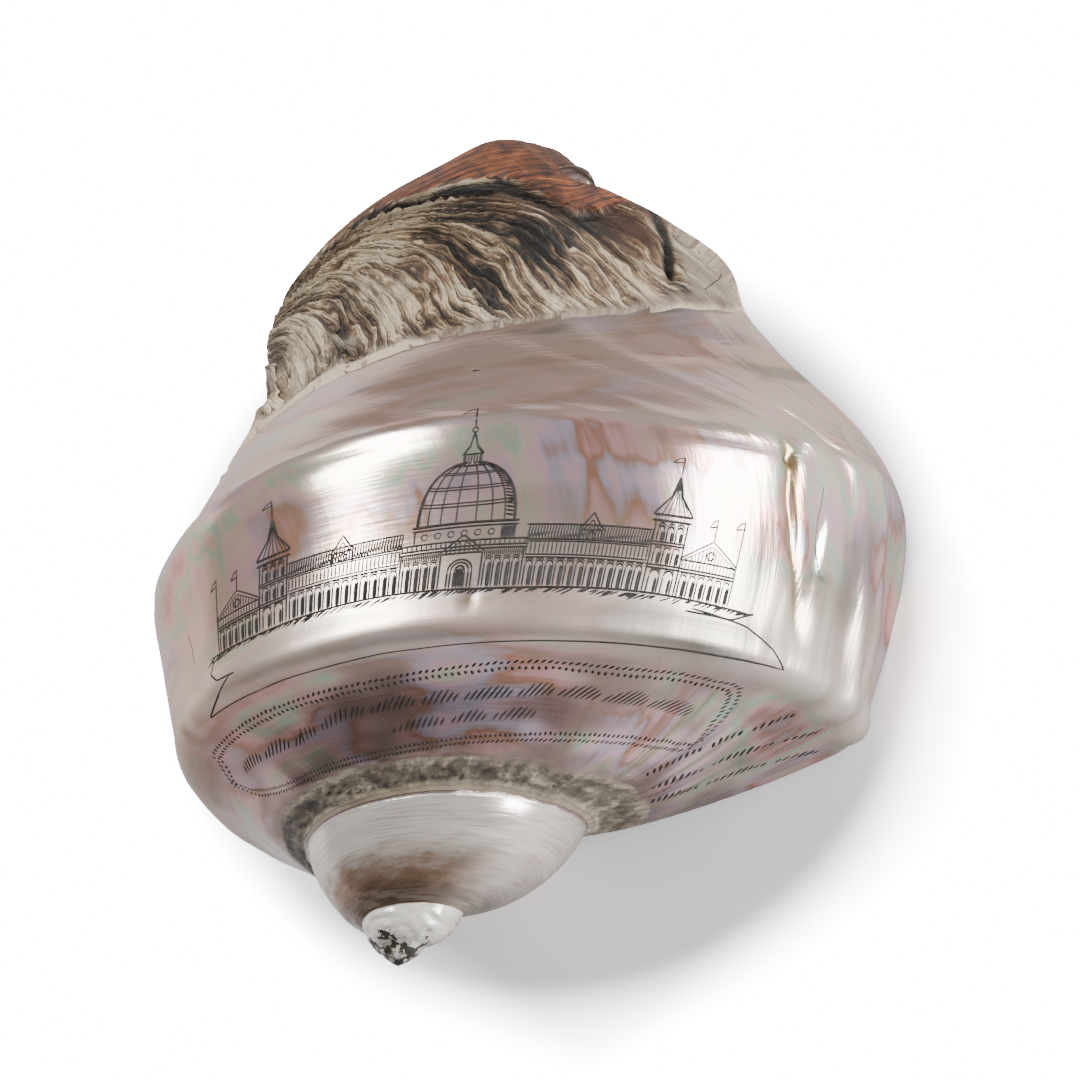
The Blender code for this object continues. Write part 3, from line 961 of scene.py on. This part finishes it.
polish = 1 - pearl.math("MAXIMUM", pearl.math("MAXIMUM", dirt, rim), pits)
polish *= (1 - within * 0.5) * (1 - rusty_inside)
metal = degrees_read.fit(-660, -600, 0.2, 0.6, "LINEAR")
metal += degrees_read.fit(-246, -200, 0, 0.14, "LINEAR")
ripples = pearl.streaks(GROWN, 20.8, 2.4, 0, 4, 0.55)
scratches = pearl.streaks(ROUND, 6, 110, 5, 2)
uneven = ripples * near_lip * 1.15 + scratches * 0.12 + brushed * 0.25 + grain * dirt * 0.7
for name, value in (
    ("Base Color", surface),
    ("Roughness", 0.12 + brushed * 0.14 + on_roll * 0.16 + dirt * 0.4 + pits * 0.3),
    ("Metallic", polish * metal),
    ("Coat Weight", polish * 0.18),
    ("Coat Roughness", 0.1),
    ("Thin Film Thickness", 420),
    ("Thin Film IOR", 1.6),
    ("Normal", pearl.bump(uneven, 0.35, 0.8 * MM)),
):
    pearl.set(shine[name], value)

# The growth layer: chalky cream leaves with charcoal between them, a band of orange brown
# along the crest, and a bare cream bevel beside the polish.
growth_layer, chalk, dull = new_finish("growth layer")
rest, past_border, crest_read, broken_edge, degrees_read, place_read = [
    chalk.read(name) for name in ("rest", "past border", "crest roll", "broken edge", "degrees", "place")
]
along_read = chalk.node("ShaderNodeSeparateXYZ", chalk.node("ShaderNodeUVMap", uv_map=GROWN)[0])[0]
fine = chalk.streaks(GROWN, 70, 4, 0, 5, 0.65, 0.3)
finer = chalk.streaks(GROWN, 170, 14, 2, 4, 0.7, 0.2)
torn = chalk.streaks(GROWN, 24, 3.4, 4, 4, 0.6, 0.3)
warp = chalk.streaks(GROWN, 7, 4, 1, 2) * 0.16 + chalk.streaks(GROWN, 20, 9, 3) * 0.02
zones = chalk.streaks(GROWN, 3.4, 1.6, 5, 2)
crumbs = chalk.speckle(170, 5, 0.7, 0.8)


def leaves(phase, sharp, brink):
    """A saw edge: each leaf rises, sharply or not, and from its brink drops to the next."""
    phase = chalk.math("FRACT", phase)
    return chalk.math("POWER", phase, sharp) * phase.fit(1, brink)


small_leaves = leaves((along_read + warp) * 72 + fine * 0.6, 1.6, 0.9)
large_leaves = leaves((along_read + warp) * 23 + fine * 0.4, 1.6, 0.9)
rest_leaves = leaves(rest + torn * 0.2, 2.5, 0.95)
pattern = small_leaves * 0.22 + large_leaves * 0.36 + rest_leaves * 0.30 + torn + crumbs * 0.55
pattern = pattern + finer * 0.28 + zones * 0.9 + chalk.read("tone") - 1.18
layers = chalk.ramp(
    pattern,
    (0.12, 24, 20, 17),
    (0.25, 54, 46, 39),
    (0.37, 94, 77, 60),
    (0.52, 152, 125, 96),
    (0.68, 234, 214, 180),
)
rusty = chalk.mix(0.45, layers, (132, 84, 54))
warm = chalk.mix(chalk.speckle(30, 2).fit(0.45, 0.65) * 0.7, layers, rusty)
roll_lines = chalk.streaks(ROUND, 4, 130, 0, 4, 0.6)
roll_colour = chalk.ramp(
    roll_lines * 0.62 + crumbs * 0.38,
    (0.38, 28, 19, 14),
    (0.48, 82, 44, 24),
    (0.58, 140, 78, 40),
    (0.72, 184, 130, 80),
)
pale_rings = chalk.mix(roll_lines.fit(0.35, 0.65), (118, 100, 80), (190, 172, 146))
roll_colour = chalk.mix((place_read + crumbs * 0.8).fit(11.9, 12.5), roll_colour, pale_rings)
beige = chalk.mix(crumbs.fit(0.4, 0.6), (158, 138, 116), (222, 206, 180))
lobe = degrees_read.fit(37.5, 39.5) * place_read.fit(10.4, 9.8)
lobe_colour = chalk.mix(torn.fit(0.5, 0.62), (168, 150, 130), (222, 210, 188))
outer = chalk.coats(
    warm,
    (crest_read.fit(0.25, 0.75), roll_colour),
    (broken_edge * 0.85, (70, 48, 34)),
    # Painted shade, near black, in the groove under the crest roll and in the gap between the lobes.
    (chalk.read("crevice").fit(0.25, 0.8), (40, 32, 26)),
    (chalk.read("scoured") * torn.fit(0.3, 0.55, 0.35, 0.95), beige),
    (lobe * 0.8, lobe_colour),
)
bevel_at = past_border + chalk.streaks(ROUND, 8, 8) * 4
bevel_at += degrees_read.fit(-20, 15, -2, 0.5)
cream = chalk.mix(crumbs.fit(0.4, 0.6), (208, 190, 164), (182, 162, 138))
taupe = chalk.mix(fine.fit(0.42, 0.58), (122, 106, 90), (158, 140, 118))
bevel = chalk.mix(bevel_at.fit(3.2, 4.6), cream, taupe)
outer = chalk.mix(bevel_at.fit(5, 8), bevel, outer)
mask, grain = chalk.node("ShaderNodeGroup", 0.35, node_tree=grime.tree)
outer = chalk.mix(mask * 0.55, outer, (52, 44, 36))
calm_edge = bevel_at.fit(3, 8, 0.04, 1)
leafy_height = (pattern * 1.8 + grain * 0.2) * calm_edge * (1 - crest_read * 0.9)
for name, value in (
    ("Base Color", outer),
    ("Roughness", 0.46 + fine * 0.3 + broken_edge * 0.3),
    ("Specular IOR Level", 0.6),
    ("Normal", chalk.bump(leafy_height + roll_lines * crest_read * 0.5, 0.9, 2.6 * MM)),
):
    chalk.set(dull[name], value)

add_modifier(shell, coiling, nacre=nacre, growth_layer=growth_layer)
made_plain(shell)
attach(shell, "root")
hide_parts("turban_shell")

# --- The engraving --------------------------------------------------------------------------
# A show palace with a dome, towers and arcades, cut into the side with a fine graver and
# rubbed with dark ink. Below it on the ramp are rows of slanting strokes in a frame of leafy
# nicks. Each drawing is laid out flat in millimetres and then wrapped over the wall.

GROUND_PLACE = 3.4


def flat_spot(at_degrees, at_place):
    """Where a spot of the wall lies on the flat drawing."""
    up = np.interp(at_place, range(len(OUTLINE)), outline_length)
    return float(length_at(radians(at_degrees))), float(up)


HAIR, FINE, THIN, PLAIN, FIRM, BOLD = 0.15, 0.18, 0.2, 0.22, 0.24, 0.26  # widths of line


class Drawing:
    """Strokes on the flat, each a line of points with a width, and how leaf-like it is."""

    def __init__(self, ground=0.0):
        self.ground = ground
        self.points, self.edges, self.widths, self.swells = [], [], [], []

    def stroke(self, points, width=BOLD, swell=0.0):
        first = len(self.points)
        self.points += [(x, y + self.ground, 0.0) for x, y in points]
        self.edges += [(first + i, first + i + 1) for i in range(len(points) - 1)]
        self.widths += [width] * len(points)
        self.swells += [swell] * len(points)

    def bow(self, x, y, wide, high, start=0, end=180, width=0.25, parts=10):
        turned = np.radians(np.linspace(start, end, parts + 1))
        self.stroke([(x + wide * cos(a), y + high * sin(a)) for a in turned], width)

    def ring(self, x, y, wide, high, width=FINE):
        self.bow(x, y, wide, high, 0, 360, width, 8)

    def box(self, left, low, right, top, width=BOLD):
        self.stroke([(left, low), (left, top), (right, top), (right, low)], width)

    def rows(self, left, right, *heights, width=0.25):
        for y in heights:
            self.stroke([(left, y), (right, y)], width)

    def hatch(self, left, right, low, top, count, lean=0.0, width=THIN):
        for i in range(count):
            x = left + (right - left) * (i + 0.5) / count
            self.stroke([(x, low), (x + lean, top)], width)

    def arcade(self, left, right, low, top, count, width=FIRM):
        pitch = (right - left) / count
        half = pitch * 0.36
        for i in range(count):
            x = left + pitch * (i + 0.5)
            for post in (x - half, x + half):
                self.stroke([(post, low), (post, top - half)], width)
            self.bow(x, top - half, half, half, width=width, parts=6)
            self.bow(x, top - half + 0.25, half + 0.3, half + 0.2, 20, 160, FINE, 6)
            self.stroke([(x + half * 0.45, low), (x + half * 0.45, top - half * 1.3)], 0.42, 0.4)

    def gable(self, left, right, low, peak, count=7, width=PLAIN):
        middle = (left + right) / 2
        self.stroke([(left - 0.5, low), (middle, peak), (right + 0.5, low)], width)
        self.stroke([(left + 0.6, low), (middle, peak - 1.1), (right - 0.6, low)], HAIR)
        for i in range(1, count):
            x = left + (right - left) * i / count
            top = low + (peak - low - 1.2) * (1 - abs(x - middle) * 2 / (right - left))
            self.stroke([(x, low), (x, top)], FINE)

    def pennant(self, x, low, top, size=2.6):
        self.stroke([(x, low), (x, top)], PLAIN)
        tail = (x - size, top - 1.9)
        self.stroke([(x, top - 0.3), (x - size * 0.55, top - 0.7), tail], FINE)
        self.stroke([tail, (x - size * 0.6, top - 1.7), (x, top - 1.5)], FINE)


palace = Drawing(flat_spot(0, GROUND_PLACE)[1])
MIDDLE, DRUM_TOP = 4, 14.3
DOME_HALF, DOME_RISE = 10.2, 12.4

# The middle: a portal, arcades, a drum with round windows and a ribbed dome with a lantern.
palace.box(-9, 0, 17, 8.2, FIRM)
palace.rows(-9.8, 17.8, 8.2, 8.9, 10.2)
palace.hatch(-9.4, 17.4, 8.9, 10.2, 26)
palace.box(-0.4, 0, 8.4, 7.4)
palace.gable(-0.4, 8.4, 7.4, 11.6, 9)
for wide, high in ((2.6, 2.4), (1.9, 1.8), (1.1, 1.1)):
    for post in (MIDDLE - wide, MIDDLE + wide):
        palace.stroke([(post, 0), (post, 3.6)])
    palace.bow(MIDDLE, 3.6, wide, high)
palace.hatch(3.1, 4.9, 0, 4.4, 5)
palace.arcade(-8.6, -0.8, 0, 6, 4)
palace.arcade(8.8, 16.6, 0, 6, 4)
for left, right in ((-8.8, -0.7), (8.7, 16.8)):
    palace.hatch(left, right, 6.3, 8.1, 20)
palace.box(-6.5, 10.2, 14.5, 13.6, PLAIN)
palace.rows(-7.2, 15.2, 13.6, DRUM_TOP)
for i in range(7):
    palace.ring(-4.4 + i * 2.8, 12, 0.7, 0.8)
palace.hatch(11.6, 14.3, 10.3, 13.5, 8)
for share in (-1, -0.97, -0.78, -0.52, -0.2, 0.2, 0.52, 0.78, 0.97, 1):
    turned = np.radians(np.linspace(0, 86, 13))
    rib = [(MIDDLE + DOME_HALF * share * cos(a), DRUM_TOP + DOME_RISE * sin(a)) for a in turned]
    palace.stroke(rib, 0.28 if abs(share) == 1 else THIN)
for up in (17, 19.88, 33, 35.88, 52, 54.88, 68, 70.88):
    turned = radians(up)
    y = DRUM_TOP + DOME_RISE * sin(turned)
    palace.bow(MIDDLE, y, DOME_HALF * cos(turned), -0.7 * cos(turned), width=0.16)
for i in range(22):
    turned = radians(4 + i * 3.3)
    x = MIDDLE + (DOME_HALF - 0.2) * cos(turned)
    y = DRUM_TOP + (DOME_RISE - 0.2) * sin(turned)
    palace.stroke([(x, y), (x - 2.2 + 0.03 * i, y + 0.3)], THIN, 0.3)
palace.box(2.3, 26.5, 5.7, 28.8)
palace.hatch(2.3, 5.7, 26.5, 28.8, 6)
palace.rows(1.8, 6.2, 28.8)
palace.stroke([(1.8, 28.8), (3.3, 29.9), (4, 32.2), (4.7, 29.9), (6.2, 28.8)], PLAIN)
palace.ring(MIDDLE, 32.8, 0.6, 0.6, THIN)
palace.pennant(MIDDLE, 33.2, 38.5, 3)

# The galleries at both sides: an arcade, windows and a slanting roof with a dormer.
for left, right in ((-36, -9), (17, 44)):
    middle = (left + right) / 2
    palace.arcade(left + 0.4, right - 0.4, 0, 5.3, 12)
    palace.rows(left, right, 5.9, 6.5, 9.4, width=THIN)
    palace.hatch(left, right, 6.5, 9.3, 30)
    palace.rows(left - 0.2, right + 0.2, 9.9, 13.4)
    palace.hatch(left, right, 9.9, 13.4, 44, 0.35)
    palace.hatch(left + 0.6, right, 9.9, 11.6, 40, -0.5)
    palace.box(middle - 2.4, 9.4, middle + 2.4, 12.2)
    palace.gable(middle - 2.4, middle + 2.4, 12.2, 15.6, 5)
    palace.ring(middle, 10.9, 0.9, 1)

# The towers, with steep roofs.
for middle in (-40, 48):
    left, right = middle - 3.8, middle + 3.8
    palace.box(left, 0, right, 15.2, FIRM)
    palace.rows(left - 0.4, right + 0.4, 5.2, 5.8, 10.2, 10.8)
    for low, top, arches in ((0, 4.8, 2), (5.9, 9.7, 3), (10.9, 14.4, 3)):
        palace.arcade(left + 0.5, right - 0.5, low, top, arches)
    palace.rows(left - 0.9, right + 0.9, 15.2, 16.2)
    palace.hatch(left - 0.6, right + 0.6, 15.2, 16.2, 12)
    slope = ((-4.7, 16.2), (-1.3, 19.6), (0, 24), (1.3, 19.6), (4.7, 16.2))
    palace.stroke([(middle + out, up) for out, up in slope], FIRM)
    for share in (-0.6, -0.3, 0, 0.3, 0.6, 0.8):
        palace.stroke([(middle + share * 4.7, 16.2), (middle + share * 1.4, 19.8), (middle, 23.8)], HAIR)
    palace.pennant(middle, 24, 29)

# The end wings, with gabled fronts.
for left, right in ((-57.5, -43.8), (51.8, 66)):
    middle = (left + right) / 2
    palace.box(left, 0, right, 7.6, FIRM)
    palace.rows(left, right, 5.1, 5.7)
    palace.arcade(left + 0.4, right - 0.4, 0, 4.6, 6)
    palace.hatch(left, right, 5.7, 7.5, 16)
    palace.gable(left, right, 7.6, 12.6, 17)
    palace.ring(middle, 9.3, 1, 1, PLAIN)
    outer = left if middle < 0 else right
    palace.pennant(outer, 7.6, 17.5, 2.2)
    palace.pennant(middle, 12.6, 17, 1.8)

# The ground with pointed scrolls at its ends, and the long leaf line along the keel.
palace.stroke([(x, -0.1 - 0.25 * sin(x / 9)) for x in np.linspace(-61, 74, 60)], BOLD)
palace.ground = 0.0
for ends in (
    ((-47.8, 3.4), (-49, 3.25), (-46.5, 3.14), (-41, 3.12)),
    ((-42.5, 3.12), (-47.5, 2.98), (-55.5, 2.80), (-49, 2.77), (-38, 2.72)),
    ((-38, 2.72), (-20, 2.72), (0, 2.78), (20, 2.86), (40, 2.94), (60, 3.02)),
    ((60, 3.02), (56, 3.16), (50, 3.28), (40, 3.33)),
    ((51, 3.4), (47, 3.3), (39, 3.3)),
):
    share = np.linspace(0, len(ends) - 1, 6 * len(ends))
    axes = [np.interp(share, range(len(ends)), axis) for axis in zip(*[flat_spot(*end) for end in ends])]
    palace.stroke(list(zip(*axes)), FIRM)
chance = np.random.default_rng(4)
for x in np.arange(-60, 73, 1.5):
    low = flat_spot(0, GROUND_PLACE - 0.01)[1]
    for i in range(int(chance.integers(1, 4))):
        start = x + chance.uniform(0, 1.4)
        long = chance.uniform(0.8, 2.8)
        palace.stroke([(start, low), (start - long, low - long * chance.uniform(0.35, 0.6))], THIN, 0.5)

# The rows of strokes. Each stroke leans, is thick in the middle, and stands for no letter.
rows = Drawing()


def baseline(*ends):
    """The lengths along a line on the ramp, and the points, squeeze and lean there."""
    corners = np.array([flat_spot(*end) for end in ends])
    share = np.linspace(0, len(ends) - 1, 400)
    x, y = (np.interp(share, range(len(ends)), corners[:, k]) for k in (0, 1))
    squeeze = np.interp(y, outline_length, [s.radius for s in OUTLINE]) / SIDE_RADIUS
    steps = np.hypot(np.gradient(x) * squeeze, np.gradient(y))
    length = np.cumsum(steps)
    lean = np.arctan2(np.gradient(y), np.gradient(x) * squeeze)
    return length, (x, y, squeeze, lean)


def row_of_strokes(ends, tall, seed, gap=1.15):
    chance = np.random.default_rng(seed)
    length, courses = baseline(*ends)
    at = length[0]
    while at < length[-1] - 2 * gap:
        count = int(chance.integers(5, 10))
        for i in range(count):
            if at > length[-1]:
                break
            x, y, squeeze, lean = [float(np.interp(at, length, course)) for course in courses]
            high = tall * (0.42 + 0.5 * sin(pi * (i + 0.5) / count)) * chance.uniform(0.92, 1.08)
            leaning = []
            for up in (-0.1 * high, 0.3 * high, 0.7 * high, high):
                right = 0.4 * up
                east = right * cos(lean) - up * sin(lean)
                north = right * sin(lean) + up * cos(lean)
                leaning.append((x + east / squeeze, y + north))
            rows.stroke(leaning, 0.36, 0.75)
            at += gap * chance.uniform(0.95, 1.1)
        at += gap * 0.9


row_of_strokes(
    ((-65, 1.76), (-37.5, 1.6), (-19.5, 1.74), (-1.5, 1.76), (15, 1.82), (28, 1.9), (45, 1.95), (59, 1.96)),
    4.0,
    1,
)
row_of_strokes(((-8, 1.42), (10, 1.50), (28.8, 1.60)), 3.2, 2)
row_of_strokes(((71, 1.2), (75.5, 2.6)), 2.8, 3)
row_of_strokes(((80.5, 1.1), (85.5, 2.6)), 2.8, 4)
row_of_strokes(((90.5, 1.0), (95, 2.55)), 2.8, 5)

# The frame: one line round the rows, along which the nicks are set.
frame_line = Drawing()
frame_bends = (
    *((-76, 1.9), (-70, 2.18), (-67.5, 2.32), (-50, 2.26), (-30.8, 2.20), (-6, 2.20), (16.2, 2.34)),
    *((35.2, 2.42), (52, 2.52), (58.5, 2.50), (66, 1.96), (68.2, 1.68), (60, 1.58), (45.5, 1.46)),
    *((21, 1.28), (-6.5, 1.14), (-35, 1.12), (-55, 1.2), (-70, 1.5), (-76, 1.9)),
)
frame_line.stroke([flat_spot(*bend) for bend in frame_bends])

# Old hairline cracks near the lip and at the edge of the growth layer.
cracks = Drawing()
for ends in (
    ((58.4, 5.1), (59.0, 4.7), (59.2, 4.45), (60.6, 4.2), (62.2, 3.92)),
    ((45.2, 8.66), (44.0, 8.52), (42.8, 8.46), (40.6, 8.3)),
    ((50.4, 5.62), (50.6, 5.45), (51.2, 5.36)),
    ((-58, 3.9), (-56.5, 3.7), (-56, 3.5)),
):
    cracks.stroke([flat_spot(*end) for end in ends], 0.16, 0.3)


def laid_flat(name, drawing):
    """A drawing as a mesh of loose lines, with the widths of its strokes."""
    mesh = bpy.data.meshes.new(name)
    mesh.from_pydata(drawing.points, drawing.edges, [])
    for kind, values in (("width", drawing.widths), ("swell", drawing.swells)):
        mesh.attributes.new(kind, "FLOAT", "POINT").data.foreach_set("value", values)
    piece = bpy.data.objects.new(name, mesh)
    bpy.context.scene.collection.objects.link(piece)
    return piece


# Pairs of nicks, set along a line and leaning to either side of it.
nicking = new_tree(
    "nicks along a line",
    "GeometryNodeTree",
    [
        ("Line", "Geometry"),
        ("Gap", "Float", 1.75),
        ("Seed", "Int", 3),
        ("Ink", "Material"),
    ],
    [("Nicks", "Geometry")],
)
bent = nicking.shape("MeshToCurve", nicking.inputs["Line"])
path = nicking.shape("CurveSplineType", bent, spline_type="CATMULL_ROM")
beads = nicking.shape("ResampleCurve", path, None, nicking.inputs["Gap"], mode="LENGTH")
tangent = nicking.shape("InputTangent")
facing = nicking.node("FunctionNodeAlignRotationToVector", None, None, tangent, axis="X", pivot_axis="Z")[0]
upper = nicking.shape("CurvePrimitiveLine", (-0.35, 0.42, 0), (0.45, 1.35, 0))
lower = nicking.shape("CurvePrimitiveLine", (-0.35, -0.42, 0), (0.45, -1.35, 0))
joined = nicking.add("GeometryNodeJoinGeometry", upper)
nicking.set(joined.inputs[0], lower)
pair = Wire(nicking, joined.outputs[0])
seed = nicking.inputs["Seed"]
uneven = nicking.node("FunctionNodeRandomValue", 0.85, 1.2, None, seed, data_type="FLOAT")[0]
scattered = nicking.shape("InstanceOnPoints", beads, None, pair, None, None, facing, uneven)
nick_curves = nicking.shape("RealizeInstances", scattered)
nicks = nicking.shape("CurveToMesh", nick_curves)
for name, value in (("width", 0.42), ("swell", 0.9)):
    nicks = nicking.shape("StoreNamedAttribute", nicks, None, name, value)
nicking.end("Nicks", nicks, (None, "Ink"))

# A flat drawing becomes thin ribbons of ink, wrapped over the wall.
wrapping = new_tree(
    "wrap a drawing over the wall",
    "GeometryNodeTree",
    [
        ("Drawing", "Geometry"),
        ("Wall", "Object"),
        ("Ink", "Material"),
        ("Step", "Float", 0.6),
        ("Depth", "Float", 0.35),
    ],
    [("Engraving", "Geometry")],
)
lines_in = wrapping.shape("MeshToCurve", wrapping.inputs["Drawing"])
lying_lines = wrapping.shape("SetCurveNormal", lines_in, None, mode="Z_UP")
step = wrapping.inputs["Step"]
stepped = wrapping.shape("ResampleCurve", lying_lines, None, step, mode="LENGTH")
part = wrapping.shape("SplineParameter")
hump = part * (1 - part) * 4
even = wrapping.math("MINIMUM", 1, hump * 5 + 0.45)
leafy = wrapping.math("POWER", hump, 0.7) * 0.85 + 0.15
taper = (leafy - even) * wrapping.attribute("swell") + even
half_width = wrapping.attribute("width") * 0.92 * taper
ring = wrapping.shape("CurvePrimitiveCircle", 4, mode="RADIUS")
flatten = wrapping.node("ShaderNodeCombineXYZ", 1, wrapping.inputs["Depth"], 1)[0]
blade = wrapping.shape("Transform", ring, None, None, flatten)
ribbons = wrapping.shape("CurveToMesh", stepped, blade, half_width)
flat_place = wrapping.shape("InputPosition")
proud = wrapping.node("ShaderNodeSeparateXYZ", flat_place)[2] * MM
on_map = wrapping.vector("MULTIPLY", flat_place, (MM, MM, 0))
wall = wrapping.node("GeometryNodeObjectInfo", wrapping.inputs["Wall"])[-1]
wall_map = wrapping.attribute("engraving", "FLOAT_VECTOR")


def sampled(value, kind="FLOAT_VECTOR"):
    """A value of the wall, and whether the wall is there, under each point of the drawing."""
    return wrapping.node("GeometryNodeSampleUVSurface", wall, value, wall_map, on_map, data_type=kind)


wall_place = sampled(wrapping.shape("InputPosition"))[0]
wall_outward = sampled(wrapping.shape("InputNormal"))[0]
rise = wrapping.vector("SCALE", wall_outward, proud)
wrapped_place = wrapping.vector("ADD", wall_place, rise)
off_wall = wrapping.node("FunctionNodeBooleanMath", sampled(1, "FLOAT")[1], operation="NOT")[0]
trimmed = wrapping.shape("DeleteGeometry", ribbons, off_wall)
wrapped = wrapping.shape("SetPosition", trimmed, None, wrapped_place)
wrapping.end("Engraving", wrapped, (None, "Ink"))

ink, dark, matt = new_finish("ink in the cuts")
blots = dark.speckle(500).fit(0.35, 0.65)
dark.set(matt["Base Color"], dark.mix(blots, (16, 13, 12), (44, 37, 33)))
matt["Roughness"].default_value = 0.65

for name, drawing, tree, step in (
    ("engraved_palace", palace, None, 0.6),
    ("engraved_rows", rows, None, 0.6),
    ("engraved_frame", frame_line, nicking, 0.25),
    ("hairline_cracks", cracks, None, 0.6),
):
    piece = laid_flat(name, drawing)
    if tree:
        add_modifier(piece, tree, ink=ink)
    add_modifier(piece, wrapping, wall=shell, ink=ink, step=step)
    made_plain(piece)
    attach(piece, "root")
    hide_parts("turban_shell")

# --- Floor, light and camera ---------------------------------------------------------------
# A white table top, two softboxes, one high at the left and one low at the right, and a
# camera nearly straight over the shell. For the camera alone the table is brightened, less near
# the shell and to pure white farther off, which paints a grey shadow round the shell.

SHADOW_MIDDLE, SHADOW_REACH, WHITE_FROM = (-0.004, -0.006, 0), 0.078, 0.108
bpy.ops.mesh.primitive_plane_add(size=6, location=(0, 0, 0))
table_top = bpy.context.object
table_top.name = "table_top"
paper_white, paper, sheet = new_finish("white paper")
pale = paper.mix(paper.speckle(60, 4), (186, 186, 186), (192, 192, 192))
here = paper.node("ShaderNodeTexCoord")[3]
from_shell = paper.vector("DISTANCE", here, SHADOW_MIDDLE)
# Painted shadow: near the shell the table is brightened less for the camera.
bleach = from_shell.fit(SHADOW_REACH, WHITE_FROM, 3.2, 60)
seen_straight = paper.node("ShaderNodeLightPath")[0]
bleached = paper.mix(seen_straight, pale, paper.mix(1, pale, bleach, "MULTIPLY"))
for name, value in (("Base Color", bleached), ("Roughness", 0.9), ("Specular IOR Level", 0.1)):
    paper.set(sheet[name], value)
table_top.data.materials.append(paper_white)

world = bpy.data.worlds.new("studio")
bpy.context.scene.world = world
world.use_nodes = True
sky = world.node_tree.nodes["Background"].inputs
sky["Color"].default_value = (1, 1, 1, 1)
sky["Strength"].default_value = 0.09


def soft_light(name, place, aim, size, power):
    lamp = bpy.data.lights.new(name, "AREA")
    lamp.shape = "RECTANGLE"
    lamp.size, lamp.size_y = size
    lamp.energy = power
    holder = bpy.data.objects.new(name, lamp)
    bpy.context.scene.collection.objects.link(holder)
    holder.location = place
    holder.rotation_euler = (Vector(aim) - Vector(place)).to_track_quat("-Z", "Y").to_euler()


soft_light("left softbox", (-0.42, 0.26, 0.78), (0, 0, 0.05), (0.44, 0.28), 13.5)
soft_light("right softbox", (0.9, 0.08, 0.16), (0.03, 0, 0.06), (0.6, 0.3), 18.5)

camera = bpy.data.objects.new("camera", bpy.data.cameras.new("camera"))
bpy.context.scene.collection.objects.link(camera)
camera.location = (0.29026, -0.20194, 1.16315)
camera.rotation_euler = [radians(turn) for turn in (12.2027, 12.7174, 8.8597)]
camera.data.lens = 184.2
camera.data.sensor_width = 36
camera.data.clip_start = 0.05
bpy.context.scene.camera = camera
